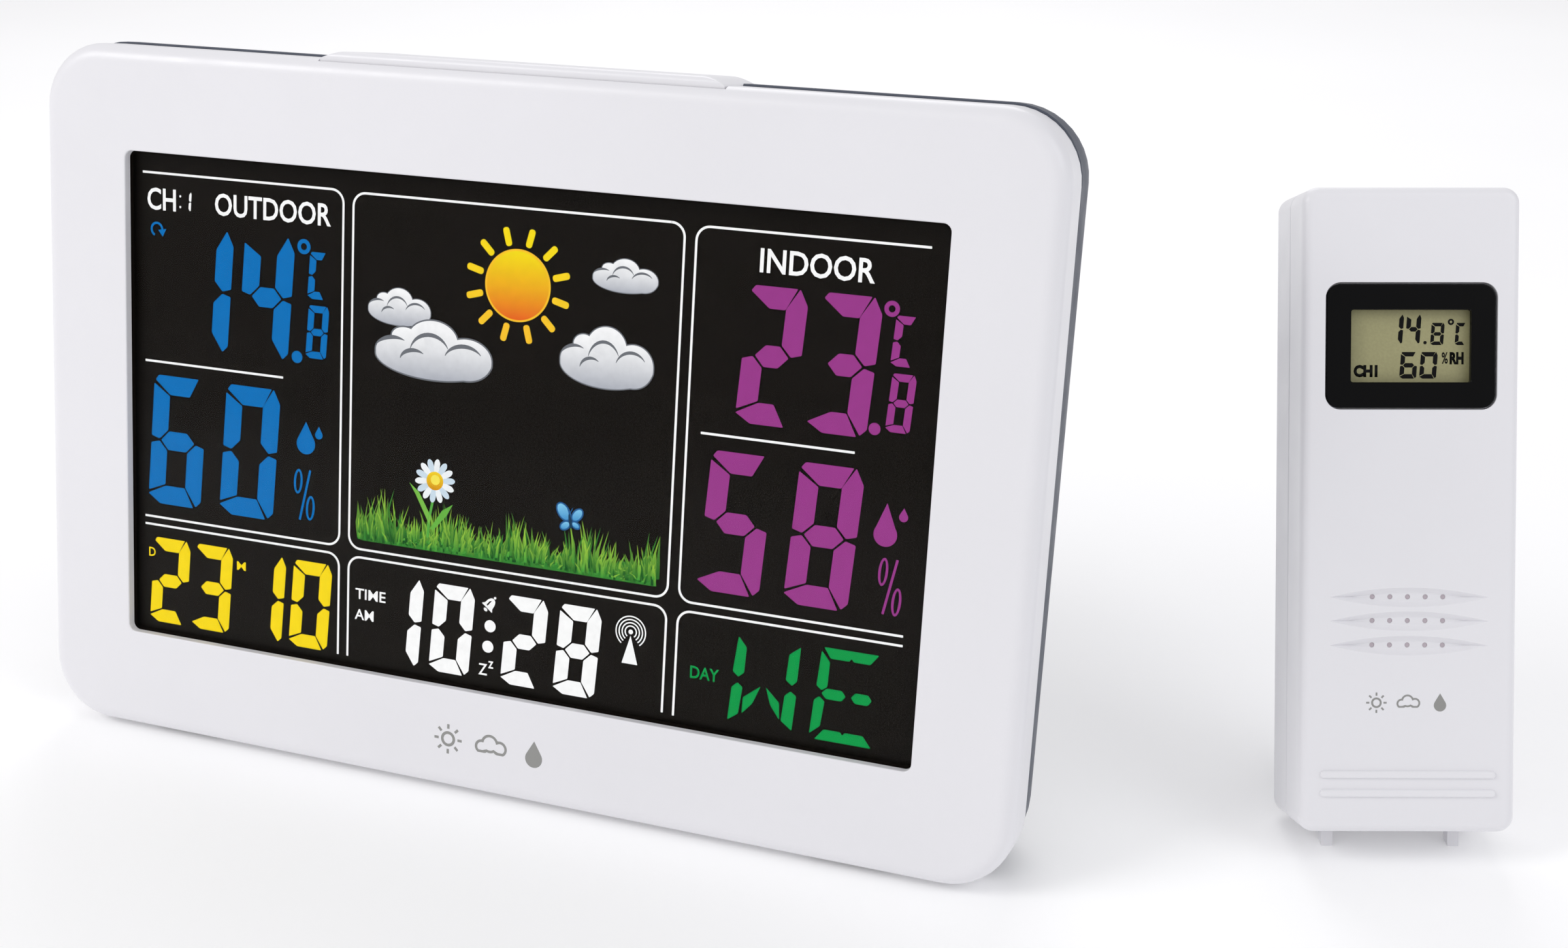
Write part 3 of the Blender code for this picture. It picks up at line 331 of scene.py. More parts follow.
def bump(tree, shader, height, depth, strength=1.0):
    node = tree.nodes.new("ShaderNodeBump")
    node.inputs["Strength"].default_value = strength
    node.inputs["Distance"].default_value = depth * MM
    tree.links.new(height, node.inputs["Height"])
    tree.links.new(node.outputs["Normal"], shader.inputs["Normal"])


def shaded(colour, share):
    return tuple(channel * share for channel in colour)


def moulded(name, colour, roughness, grain, depth, variation=0.03, **sockets):
    """Moulded plastic: a faint cloudiness, a fine grain and a roughness that varies with handling."""
    made, tree, shader = principled(name, colour, roughness, **sockets)
    cloud = noise(tree, 22.0, 4.0)
    stops = ((0.3, shaded(colour, 1 - variation)), (0.7, shaded(colour, 1 + variation)))
    tree.links.new(ramp(tree, cloud, *stops), shader.inputs["Base Color"])
    rub = noise(tree, 160.0, 5.0)
    tree.links.new(spread(tree, rub, roughness * 0.85, roughness * 1.2), shader.inputs["Roughness"])
    bump(tree, shader, noise(tree, grain, 2.0), depth)
    return made


def metal(name, colour, roughness, stretch, worn=0.75):
    """Drawn or turned metal, with fine lines along its length and duller patches."""
    made, tree, shader = principled(name, colour, roughness, 1.0)
    lines = noise(tree, 900.0, 4.0, stretch)
    stops = ((0.3, shaded(colour, worn)), (0.7, colour))
    tree.links.new(ramp(tree, noise(tree, 120.0, 4.0), *stops), shader.inputs["Base Color"])
    tree.links.new(spread(tree, lines, roughness * 0.7, roughness * 1.4), shader.inputs["Roughness"])
    bump(tree, shader, lines, 0.01)
    return made


def lit_graphics():
    """The display's colour segments: the colour painted on each piece, lit evenly from behind."""
    sockets = {"Emission_Strength": 1.0, "Specular_IOR_Level": 0.02}
    made, tree, shader = principled("lit_segments", (0.0, 0.0, 0.0), 0.6, **sockets)
    painted = tree.nodes.new("ShaderNodeAttribute")
    painted.attribute_name = "tint"
    veil = ramp(tree, noise(tree, 700.0, 4.0), (0.3, (0.93, 0.93, 0.93)), (0.7, (1.0, 1.0, 1.0)))
    mixed = tree.nodes.new("ShaderNodeMix")
    mixed.data_type = "RGBA"
    mixed.blend_type = "MULTIPLY"
    mixed.inputs["Factor"].default_value = 1.0
    tree.links.new(painted.outputs["Color"], mixed.inputs["A"])
    tree.links.new(veil, mixed.inputs["B"])
    tree.links.new(mixed.outputs["Result"], shader.inputs["Emission Color"])
    return made


def printed(name, roughness):
    """Ink whose colour is painted on each piece, with a slightly uneven sheen."""
    made, tree, shader = principled(name, (0.5, 0.5, 0.5), roughness, Specular_IOR_Level=0.1)
    painted = tree.nodes.new("ShaderNodeAttribute")
    painted.attribute_name = "tint"
    tree.links.new(painted.outputs["Color"], shader.inputs["Base Color"])
    sheen = spread(tree, noise(tree, 1500.0), roughness * 0.8, roughness * 1.2)
    tree.links.new(sheen, shader.inputs["Roughness"])
    return made


def clear_lens():
    """Coated clear acrylic: it mirrors little, so that the display stays black."""
    sockets = {"Transmission_Weight": 1.0, "IOR": 1.12}
    made, tree, shader = principled("clear_acrylic", (0.985, 0.99, 0.99), 0.02, **sockets)
    tree.links.new(spread(tree, noise(tree, 60.0, 4.0), 0.012, 0.03), shader.inputs["Roughness"])
    return made


def black_glass():
    """The unlit display: warm black, with the faint mesh of its cells."""
    made, tree, shader = principled("display_black", (0.0070, 0.0050, 0.0034), 0.50, Specular_IOR_Level=0.04)
    stops = ((0.02, (0.0080, 0.0058, 0.0040)), (0.12, (0.0062, 0.0044, 0.0030)))
    mesh = cells(tree, 2600.0, "DISTANCE_TO_EDGE")
    tree.links.new(ramp(tree, mesh, *stops), shader.inputs["Base Color"])
    return made


def reflective_lcd():
    """The sensor's grey-olive display, with a fine reflector grain behind the glass."""
    olive = (0.335, 0.318, 0.168)
    made, tree, shader = principled("olive_lcd", olive, 0.28, Specular_IOR_Level=0.3)
    stops = ((0.3, shaded(olive, 0.95)), (0.7, shaded(olive, 1.05)))
    tree.links.new(ramp(tree, noise(tree, 2400.0, 2.0), *stops), shader.inputs["Base Color"])
    return made


def circuit_board():
    """Green solder mask over tracks, with tinned pads where the tracks meet."""
    mask, track, pad = (0.012, 0.085, 0.030), (0.020, 0.150, 0.050), (0.60, 0.60, 0.55)
    made, tree, shader = principled("solder_mask", mask, 0.35, Coat_Weight=0.3)
    edges = cells(tree, 420.0, "DISTANCE_TO_EDGE")
    middles = cells(tree, 420.0)
    lines = ramp(tree, edges, (0.05, track), (0.09, mask))
    dots = ramp(tree, middles, (0.10, (1.0, 1.0, 1.0)), (0.13, (0.0, 0.0, 0.0)))
    mixed = tree.nodes.new("ShaderNodeMix")
    mixed.data_type = "RGBA"
    mixed.inputs["B"].default_value = (*pad, 1.0)
    tree.links.new(dots, mixed.inputs["Factor"])
    tree.links.new(lines, mixed.inputs["A"])
    tree.links.new(mixed.outputs["Result"], shader.inputs["Base Color"])
    bump(tree, shader, edges, 0.03, 0.6)
    return made


def cell_wrap():
    """A battery's printed wrap: blue, with a silver band at regular steps along the row."""
    blue, dark, light, silver = (0.03, 0.10, 0.30), (0.02, 0.05, 0.14), (0.03, 0.12, 0.34), (0.55, 0.56, 0.58)
    made, tree, shader = principled("cell_print", blue, 0.30, 0.4, Coat_Weight=0.5)
    lines = noise(tree, 45.0, 1.0, (1.0, 0.05, 0.05))
    stops = ((0.40, blue), (0.44, dark), (0.56, light), (0.60, silver))
    tree.links.new(ramp(tree, lines, *stops), shader.inputs["Base Color"])
    tree.links.new(spread(tree, noise(tree, 500.0), 0.25, 0.36), shader.inputs["Roughness"])
    return made


WHITE = moulded("white_plastic", (0.795, 0.79, 0.82), 0.34, 2600.0, 0.012, 0.012)
SLATE = moulded("slate_plastic", (0.060, 0.070, 0.098), 0.46, 1700.0, 0.045, 0.08)
KEY = moulded("key_plastic_grey", (0.60, 0.62, 0.66), 0.40, 2200.0, 0.015, 0.03)
RUBBER = moulded("foot_rubber", (0.030, 0.030, 0.032), 0.80, 1200.0, 0.06, 0.15)
SILICONE = moulded("mat_silicone", (0.28, 0.29, 0.31), 0.60, 1500.0, 0.03, 0.08)
GLOSS_BLACK = moulded(
    "gloss_black", (0.0022, 0.0022, 0.0024), 0.22, 900.0, 0.003, 0.10, Specular_IOR_Level=0.10
)
PART_BLACK = moulded("part_black", (0.018, 0.018, 0.020), 0.42, 2600.0, 0.03, 0.12)
TRAY = moulded("tray_plastic", (0.68, 0.68, 0.65), 0.50, 1500.0, 0.02, 0.03)
GUIDE = moulded("guide_acrylic", (0.84, 0.87, 0.85), 0.18, 700.0, 0.01, 0.02, Transmission_Weight=0.5)
FERRITE = moulded("ground_ferrite", (0.075, 0.070, 0.066), 0.60, 900.0, 0.05, 0.20)
PRINT_BLACK = moulded(
    "border_print", (0.0055, 0.0040, 0.0028), 0.50, 3000.0, 0.003, 0.05, Specular_IOR_Level=0.04
)
SCREEN = moulded("dust_screen_mesh", (0.50, 0.44, 0.48), 0.70, 2000.0, 0.04, 0.08)
STEEL = metal("nickel_steel", (0.62, 0.63, 0.65), 0.28, (1.0, 9.0, 9.0))
COPPER = metal("enamelled_copper", (0.72, 0.36, 0.17), 0.33, (6.0, 1.0, 1.0))
LENS = clear_lens()
BLACK = black_glass()
OLIVE = reflective_lcd()
SEGMENTS = lit_graphics()
INK = printed("surface_ink", 0.45)
BOARD = circuit_board()
WRAP = cell_wrap()

INNER_FINISHES = (
    (BLACK, ("lcd_panel",)),
    (GUIDE, ("light_guide",)),
    (TRAY, ("lcd_frame",)),
    (BOARD, ("led_strip", "main_board", "radio_receiver", "indoor_probe", "key_board")),
    (BOARD, ("sensor_board", "sensor_probe")),
    (PART_BLACK, ("controller_chip", "buzzer", "snooze_switch", "sensor_chip")),
    (STEEL, ("contacts_left", "contacts_right", "sensor_contacts_lower", "sensor_contacts_upper")),
    (STEEL, ("console_leg_pin", "sensor_leg_pin")),
    (COPPER, ("antenna_coil", "lcd_ribbon", "sensor_antenna")),
    (FERRITE, ("antenna_rod",)),
    (WRAP, ("cell_lower", "cell_middle", "cell_upper", "sensor_cell_left", "sensor_cell_right")),
    (SILICONE, ("key_mat",)),
)


def finish_inner_nodes():
    for material, names in INNER_FINISHES:
        for name in names:
            node = NODES[name]
            node.data.materials.clear()
            node.data.materials.append(material)


# Console shells


def face_outline(inset):
    """The console's outline, drawn in by an inset on every side."""
    size = (WIDTH - 2 * inset, HEIGHT - 2 * inset)
    return rounded_rect(*size, max(CORNER - inset, 1.0), (0.0, HEIGHT / 2))


def window_outline(grow, radius=1.5):
    return rounded_rect(WINDOW_WIDTH + grow, WINDOW_HEIGHT + grow, radius, (0.0, WINDOW_Z))


def rear_outline(inset):
    """A step higher than the bezel, and narrower towards the bottom."""
    height = HEIGHT + REAR_TOP_STEP - REAR_FOOT_STEP - 2 * inset
    middle = (HEIGHT + REAR_TOP_STEP + REAR_FOOT_STEP) / 2
    outline = rounded_rect(WIDTH - 2 * inset, height, max(CORNER - inset, 1.0), (0.0, middle))
    return [(x * (1 - REAR_TAPER * (1 - z / HEIGHT)), z) for x, z in outline]


def rear_profile(wall, steps=16):
    """(distance, inset) steps of the rear housing behind its band, inside a wall of a thickness."""
    profile = []
    for i in range(steps + 1):
        angle = math.pi / 2 * i / steps
        along = REAR_BAND + (DEPTH - REAR_BAND) * math.sin(angle) - wall * i / steps
        profile.append((along, REAR_INSET * (1 - math.cos(angle)) + wall))
    return profile


def round_over(radius, steps):
    """(depth, inset) steps of an edge's quarter round, from the side to the face."""
    profile = []
    for i in range(steps + 1):
        angle = math.pi / 2 * i / steps
        profile.append((radius * (1 - math.sin(angle)), radius * (1 - math.cos(angle))))
    return profile


def screw_places():
    return [(x, z) for z in (SCREW_LOW, SCREW_HIGH) for x in mirrored(SCREW_X)]


def snooze_recess(front):
    half = SNOOZE_HALF + GAP
    return block((-half, front, SNOOZE_FLOOR), (half, SNOOZE_BACK + GAP, HEIGHT + BIG))


def make_bezel():
    steps = [(BEZEL_DEPTH, face_outline(0.0)), (BEZEL_DEPTH - SUPPORT, face_outline(0.0))]
    steps.append((EDGE_ROUND + SUPPORT, face_outline(0.0)))
    steps += [(depth, face_outline(inset)) for depth, inset in round_over(EDGE_ROUND, 10)]
    steps.append((0.0, face_outline(EDGE_ROUND + SUPPORT)))
    steps.append((0.0, window_outline(2 * SMALL_ROUND + 2 * SUPPORT)))
    lip = reversed(round_over(SMALL_ROUND, 4))
    steps += [(depth, window_outline(2 * inset)) for depth, inset in lip]
    steps += [(WINDOW_DEEP, window_outline(0.0)), (WINDOW_DEEP, window_outline(6.6))]
    steps += [(FACE_WALL, window_outline(6.6)), (FACE_WALL, face_outline(BEZEL_WALL))]
    steps.append((BEZEL_DEPTH, face_outline(BEZEL_WALL)))
    bezel = start("bezel", stack("Y", steps, closed=True))
    carve(bezel, block((-42.0, FACE_WALL - 0.3, 130.4), (42.0, BEZEL_DEPTH, 132.0)), "UNION")
    posts = [rod("Y", POST_RADIUS, spot, FACE_WALL - 0.6, BEZEL_DEPTH - GAP) for spot in screw_places()]
    carve(bezel, several(posts), "UNION")
    pilots = [rod("Y", PILOT_RADIUS, spot, 4.0, BEZEL_DEPTH + 1) for spot in screw_places()]
    carve(bezel, several(pilots))
    carve(bezel, snooze_recess(1.3))
    pockets = []
    for x in mirrored(FOOT_X):
        half = FOOT_WIDTH / 2 + GAP
        front = FOOT_Y - FOOT_LENGTH / 2 - GAP
        pockets.append(block((x - half, front, -BIG), (x + half, BEZEL_DEPTH + 1.0, FOOT_POCKET)))
    carve(bezel, several(pockets))
    finish(bezel, CONSOLE, "console", WHITE, ("front_bezel",))


def bay_block(grow, front, back):
    low = (BAY_LEFT - grow, front, BAY_BOTTOM - grow)
    return block(low, (BAY_LEFT + BAY_LENGTH + grow, back, BAY_BOTTOM + BAY_HEIGHT + grow))


def carve_leg_pocket(housing, leg):
    """The pocket that a leg folds into, deeper round its knuckle, and the pin's holes beside it."""
    hinge_y, hinge_z = leg["hinge"]
    half = leg["width"] / 2 + GAP
    floor = hinge_y - leg["thick"] * LEG_FRONT_SHARE - GAP
    carve(housing, block((-half, floor, -BIG), (half, BIG, hinge_z + leg["knuckle"] + 2 * GAP)))
    low = (-half, hinge_y - leg["knuckle"] - GAP, hinge_z - leg["knuckle"] - 4 * GAP)
    carve(housing, block(low, (half, BIG, hinge_z + leg["knuckle"] + GAP)))
    reach = half + leg["side"] + GAP
    carve(housing, rod("X", PIN_RADIUS, leg["hinge"], -reach, reach))


def rear_hollow():
    """The rear housing's inner space, less the walls round its bays, bosses and the snooze key."""
    inside = face_outline(LIP_INNER)
    begin = BEZEL_DEPTH + GAP
    wall = DEPTH - REAR_WALL + 0.5
    rings = [(LIP_FRONT - 1.0, inside), (begin + 1.0, inside)]
    rings += [(along, rear_outline(inset)) for along, inset in rear_profile(REAR_WALL)]
    hollow = start("rear_hollow", stack("Y", rings))
    carve(hollow, bay_block(BAY_WALL, 12.0, wall))
    half = LEG["width"] / 2 + 4.5
    carve(hollow, block((-half, 19.6, -1.0), (half, wall, LEG["hinge"][1] + 7)))
    carve(hollow, several([rod("Y", BOSS_RADIUS, spot, begin, wall) for spot in screw_places()]))
    carve(hollow, block((-42.0, begin, 129.5), (42.0, 19.5, HEIGHT)))
    return taken(hollow)


def make_rear_housing():
    lip = face_outline(LIP_INSET)
    begin = BEZEL_DEPTH + GAP
    band = rear_outline(0.0)
    rings = [(LIP_FRONT, lip), (begin, lip), (begin, rear_outline(SMALL_ROUND))]
    rings += [(begin + SMALL_ROUND, band), (begin + SMALL_ROUND + SUPPORT, band)]
    rings.append((REAR_BAND - SUPPORT, band))
    rings += [(along, rear_outline(inset)) for along, inset in rear_profile(0.0)]
    rings.append((DEPTH, rear_outline(REAR_INSET + 2 * SUPPORT)))
    housing = start("housing", stack("Y", rings))
    carve(housing, rear_hollow())
    carve(housing, block((-42.6, LIP_FRONT - 1, 129.0), (42.6, begin, HEIGHT)))
    carve(housing, snooze_recess(begin - 1.0))
    stems = [block((-3.4, 10.6, 125.0), (3.4, 14.4, HEIGHT))]
    stems += [block((x - 1.4, 11.1, 125.0), (x + 1.4, 13.9, HEIGHT)) for x in mirrored(30.0)]
    carve(housing, several(stems))
    carve(housing, bay_block(0.0, BAY_FLOOR, BIG))
    carve(housing, bay_block(BAY_WALL + GAP, DEPTH - DOOR_THICK - GAP, BIG))
    carve_leg_pocket(housing, LEG)
    pilots = [rod("Y", PILOT_RADIUS, spot, LIP_FRONT, 13.5) for spot in screw_places()]
    carve(housing, several(pilots))
    funnel = [(13.0, HEAD_BORE), (DEPTH - 0.4, HEAD_BORE), (DEPTH + 0.1, HEAD_BORE + 0.5)]
    carve(housing, several([turned("Y", spot, funnel) for spot in screw_places()]))
    inner = DEPTH - REAR_WALL - 1
    holes = []
    for x in KEY_COLUMNS:
        for z in KEY_ROWS:
            hole = rounded_rect(KEY_WIDTH + 2 * GAP, KEY_HEIGHT + 2 * GAP, 1.5, (x, z))
            wide = rounded_rect(KEY_WIDTH + 4 * GAP, KEY_HEIGHT + 4 * GAP, 1.8, (x, z))
            steps = ((inner, hole), (DEPTH - GAP, hole), (DEPTH + 0.01, wide), (BIG, wide))
            holes.append(stack("Y", steps))
    carve(housing, several(holes))
    mouth = JACK_RING + GAP
    openings = [turned("Y", JACK, [(inner, mouth), (DEPTH - 0.4, mouth), (DEPTH + 0.1, mouth + 0.5)])]
    for i in (-1, 0, 1):
        for j in (-1, 0, 1):
            spot = (BUZZER[0] + GRILLE_PITCH * i, BUZZER[1] + GRILLE_PITCH * j)
            openings.append(turned("Y", spot, [(inner, 0.7), (DEPTH - 0.2, 0.7), (DEPTH + 0.1, 1.0)], 20))
    middle = (VENT_LEFT + VENT_RIGHT) / 2
    for i in range(VENTS):
        z = VENT_FIRST + VENT_PITCH * i + VENT_HEIGHT / 2
        slit = rounded_rect(VENT_RIGHT - VENT_LEFT, VENT_HEIGHT, 0.7, (middle, z))
        wide = rounded_rect(VENT_RIGHT - VENT_LEFT + 0.6, VENT_HEIGHT + 0.6, 1.0, (middle, z))
        openings.append(stack("Y", ((inner, slit), (DEPTH - 0.3, slit), (DEPTH + 0.01, wide))))
    carve(housing, several(openings))
    carve(housing, rod("Y", KEYHOLE_RADIUS, (0.0, KEYHOLE_Z), inner, BIG))
    carve(housing, block((-KEYHOLE_SLOT, inner, KEYHOLE_Z), (KEYHOLE_SLOT, BIG, KEYHOLE_TOP)))
    finish(housing, CONSOLE, "console", SLATE, ("rear_housing",))


def make_snooze_key():
    def outline(drop):
        slope = SNOOZE_HALF - SNOOZE_TOP_HALF
        low, top = SNOOZE_BASE, SNOOZE_TOP + drop
        half = SNOOZE_HALF - slope * (top - low - 0.7) / (SNOOZE_TOP - low - 0.7)
        right = [(SNOOZE_HALF, low), (SNOOZE_HALF, low + 0.6)]
        for i in range(9):
            share = i / 8
            ease = math.sin(math.pi / 2 * share)
            x = SNOOZE_HALF - 0.25 - (SNOOZE_HALF - half - 0.25) * share
            right.append((x, low + 0.85 + (top - low - 0.85) * ease))
        return right + [(-x, z) for x, z in reversed(right)]

    drops = [(SNOOZE_FRONT, -1.05)]
    for i in range(1, 9):
        angle = math.pi / 2 * i / 8
        drops.append((SNOOZE_FRONT + 1.3 * (1 - math.cos(angle)), -1.05 * (1 - math.sin(angle))))
    back = SNOOZE_BACK
    for i in range(9):
        angle = math.pi / 2 * i / 8
        drops.append((back - 0.9 * (1 - math.sin(angle)), -0.8 * (1 - math.cos(angle))))
    key = start("snooze_bar", stack("Y", [(along, outline(drop)) for along, drop in drops]))
    carve(key, block((-3.0, 11.0, 125.1), (3.0, 14.0, SNOOZE_BASE + 0.4)), "UNION")
    for x in mirrored(30.0):
        carve(key, block((x - 1.0, 11.5, 128.0), (x + 1.0, 13.5, SNOOZE_BASE + 0.4)), "UNION")
    finish(key, CONSOLE, "snooze_key", WHITE, ("snooze_key",))


def make_rear_keys():
    inner = DEPTH - REAR_WALL - GAP
    for x, pair in zip(KEY_COLUMNS, KEY_NAMES):
        for z, label in zip(KEY_ROWS, pair):

            def outline(grow):
                return rounded_rect(KEY_WIDTH + grow, KEY_HEIGHT + grow, 1.2, (x, z), 8)

            steps = [(KEY_FRONT, outline(0.0)), (inner - 1.0, outline(0.0))]
            steps += [(inner - 1.0, outline(KEY_FLANGE)), (inner, outline(KEY_FLANGE)), (inner, outline(0.0))]
            top = DEPTH + KEY_PROUD
            steps += [(top - depth, outline(-2 * inset)) for depth, inset in round_over(0.45, 5)]
            steps.append((top, outline(-1.3)))
            key = start(f"{label}_button", stack("Y", steps))
            carve(key, key_mark(label, x, z, top))
            finish(key, CONSOLE, f"{label}_key", KEY, (f"{label}_key",))


def bars(spots, top):
    """Small sunk bars, each an (x, z, width, height, turn)."""
    made = []
    for x, z, width, height, turn in spots:
        outline = []
        for a, b in rounded_rect(width, height, min(width, height) * 0.45, steps=4):
            spot = (a * math.cos(turn) - b * math.sin(turn), a * math.sin(turn) + b * math.cos(turn))
            outline.append((x + spot[0], z + spot[1]))
        made.append(prism("Y", outline, top - MARK_DEEP, top + 1.0))
    return several(made)


def key_mark(label, x, z, top):
    """A small sunk mark on a key's cap. The keys are read from behind, so right is towards -X."""
    tilt = math.radians(38)
    if label == "up":
        return bars([(x - side * 1.05, z, 2.0, MARK_LINE, side * tilt) for side in (-1, 1)], top)
    if label == "down":
        return bars([(x - side * 1.05, z, 2.0, MARK_LINE, -side * tilt) for side in (-1, 1)], top)
    if label == "mode":
        return bars([(x, z + step, 3.0, MARK_LINE, 0.0) for step in (-0.9, 0.0, 0.9)], top)
    if label == "channel":
        steps = ((0.9, 0.0), (0.0, 0.35), (-0.9, 0.7))
        return bars([(x + step, z - 0.5 + rise, MARK_LINE, 1.0 + 2 * rise, 0.0) for step, rise in steps], top)
    if label == "alarm":
        return prism("Y", circle(1.15, (x, z)), top - MARK_DEEP, top + 1.0)
    dot = prism("Y", circle(0.5, (x + 1.2, z + 0.7), 20), top - MARK_DEEP, top + 1.0)
    return several((dot, bars(((x - 0.3, z, MARK_LINE, 2.4, 0.35),), top)))


def make_leg(name, leg, unit, body, material, node):
    """An open leg: its tip is where the CAD leg's is, and it is drawn upright and then swung open."""
    hinge_y, hinge_z = leg["hinge"]
    front_face = -leg["thick"] * LEG_FRONT_SHARE
    rear_face = front_face + leg["thick"]
    half = leg["width"] / 2
    pivot = unit @ Vector((0.0, hinge_y, hinge_z))
    lean = math.acos(min(1.0, unit.col[2].to_3d().normalized().z))
    back = math.acos((pivot.z / MM) / leg["length"])

    def tip(y):
        return -(leg["length"] * math.cos(back) + y * math.sin(back)) / math.cos(back)

    corners = [(front_face, 0.0), (rear_face, 0.0)]
    corners += [(rear_face, tip(rear_face)), (front_face, tip(front_face))]
    outline = [(hinge_y + a, hinge_z + b) for a, b in corners]
    piece = start(name, prism("X", outline, -half, half))
    carve(piece, rod("X", leg["knuckle"], leg["hinge"], -half, half), "UNION")
    grip_low, grip_high = hinge_z - leg["length"] * 0.82, hinge_z - leg["length"] * 0.25
    groove = rounded_rect(leg["width"] * 0.62, grip_high - grip_low, 3.0, (0.0, (grip_low + grip_high) / 2))
    outer = hinge_y + rear_face
    carve(piece, prism("Y", groove, outer - 0.5, outer + 1.0))
    carve(piece, rod("X", PIN_RADIUS, leg["hinge"], -BIG, BIG))
    turn = Matrix.Rotation(lean + back, 4, "X")
    around = Matrix.Translation((0.0, hinge_y, hinge_z))
    piece.data.transform(around @ turn @ around.inverted())
    finish(piece, unit, body, material, (node,), bevel=0.35)


def dome(start_y, rise, radius, shrink):
    """(distance, radius) steps of a screw's domed head."""
    steps = []
    for i in range(1, 7):
        angle = math.pi / 2 * i / 6
        steps.append((start_y + rise * math.sin(angle), radius - shrink * (1 - math.cos(angle))))
    return steps


def make_screw(name, unit, body, spot, steps, node):
    """A turned screw with a cross recess in its head; steps are (distance, radius)."""
    piece = start(name, turned("Y", spot, steps))
    head, radius = steps[-1][0], steps[-2][1]
    x, z = spot
    arm, thick = radius * 0.62, radius * 0.17
    cross = start("cross", block((x - arm, head - radius * 0.35, z - thick), (x + arm, BIG, z + thick)))
    carve(cross, block((x - thick, head - radius * 0.35, z - arm), (x + thick, BIG, z + arm)), "UNION")
    carve(piece, taken(cross))
    finish(piece, unit, body, STEEL, (node,))


def make_console_screws():
    steps = [(4.6, 0.9), (5.4, 1.2), (13.3, 1.2), (13.3, 2.6), (14.2, 2.6)]
    steps += dome(14.2, 0.9, 2.6, 1.2)
    for i, spot in enumerate(screw_places(), start=1):
        make_screw(f"rear_screw_{i}", CONSOLE, "console", spot, steps, f"housing_screw_{i}")


def door_plate(name, width, height, middle, depth):
    """A battery door's plate, its outer edge just rounded."""
    steps = [(depth - DOOR_THICK, rounded_rect(width, height, 0.6, middle))]
    for drop_back, inset in round_over(0.25, 3):
        outline = rounded_rect(width - 2 * inset, height - 2 * inset, 0.6, middle)
        steps.append((depth - drop_back, outline))
    return start(name, stack("Y", steps))


def carve_grip(door, sides, depth, lip, rib):
    """The thumb slot across a door's top, between two heights, and the three ribs below it."""
    (left, right), (lip_low, lip_high) = sides, lip
    carve(door, block((left, depth - 0.7, lip_low), (right, BIG, lip_high)))
    ribs = []
    for i in range(3):
        low = rib - RIB_PITCH * i
        ribs.append(block((left, depth - 0.35, low), (right, BIG, low + RIB_HEIGHT)))
    carve(door, several(ribs))


def make_battery_door():
    inner = DEPTH - DOOR_THICK
    width, height = BAY_LENGTH + 2 * BAY_WALL, BAY_HEIGHT + 2 * BAY_WALL
    middle = (BAY_LEFT + BAY_LENGTH / 2, BAY_BOTTOM + BAY_HEIGHT / 2)
    door = door_plate("battery_cover", width, height, middle, DEPTH)
    top = BAY_BOTTOM + BAY_HEIGHT - GAP
    carve(door, block((-62.0, 22.4, top - 0.9), (-55.0, inner + 0.5, top)), "UNION")
    carve_grip(door, (-63.0, -54.0), DEPTH, (60.4, 62.4), 57.0)
    arrow = [(-61.0, 49.5), (-58.5, 46.5), (-56.0, 49.5)]
    carve(door, prism("Y", arrow, DEPTH - 0.25, BIG))
    finish(door, CONSOLE, "battery_door", SLATE, ("battery_door",))


def make_jack():
    back = DEPTH - 0.2
    x, z = JACK
    body = block((x - JACK_HALF, 11.5, z - JACK_HALF), (x + JACK_HALF, 23.7, z + JACK_HALF))
    ring = [(20.0, JACK_RING), (back - 0.3, JACK_RING), (back, JACK_RING - 0.3)]
    bore = [(15.0, JACK_BORE), (back - 0.4, JACK_BORE), (back + 0.1, JACK_BORE + 0.4)]
    pin = [(14.0, JACK_PIN), (DEPTH - 1.8, JACK_PIN), (DEPTH - 1.5, JACK_PIN - 0.3)]
    socket = start("dc_inlet", body)
    carve(socket, turned("Y", JACK, ring), "UNION")
    carve(socket, turned("Y", JACK, bore))
    carve(socket, turned("Y", JACK, pin), "UNION")
    finish(socket, CONSOLE, "console", PART_BLACK, ("dc_socket",))


def make_feet():
    for side, x in (("left", -FOOT_X), ("right", FOOT_X)):
        front, back = FOOT_Y - FOOT_LENGTH / 2, FOOT_Y + FOOT_LENGTH / 2
        lean_tan = CONSOLE.col[1].z / CONSOLE.col[2].z
        base = -CONSOLE.translation.z / CONSOLE.col[2].z
        top = FOOT_POCKET - GAP
        outline = [(front, top), (back, top)]
        outline += [(y, base - y * lean_tan) for y in (back, front)]
        half = FOOT_WIDTH / 2
        foot = start(f"rubber_foot_{side}", prism("X", outline, x - half, x + half))
        grooves = []
        for i in range(5):
            left = x - half + 2.0 + 2.6 * i
            grooves.append(block((left, -BIG, -BIG), (left + 0.6, BIG, base + 0.35)))
        carve(foot, several(grooves))
        finish(foot, CONSOLE, "console", RUBBER, (f"foot_{side}",), bevel=0.12)


# Console's display. Its sheet is measured from the lower left corner of the seen area.

ART_THICK, ART_STEP, ART_CLEAR = 0.015, 0.02, 0.005
SLANT = 0.068

SEGMENT_WHITE = (1.0, 1.0, 1.0)
SEGMENT_BLUE = (0.0030, 0.168, 0.509)
SEGMENT_PURPLE = (0.328, 0.045, 0.262)
SEGMENT_YELLOW = (0.98, 0.730, 0.009)
SEGMENT_GREEN = (0.0030, 0.323, 0.065)
LCD_BLACK = (0.004, 0.004, 0.004)

MARK_GREY = (0.30, 0.30, 0.29)


def sheet(unit, body, corner, scale, front, material, slot):
    """Where flat art lies: its corner, scale and depth in its unit, and how it is made."""
    return {
        "unit": unit,
        "body": body,
        "corner": corner,
        "scale": scale,
        "front": front,
        "material": material,
        "slot": slot,
    }


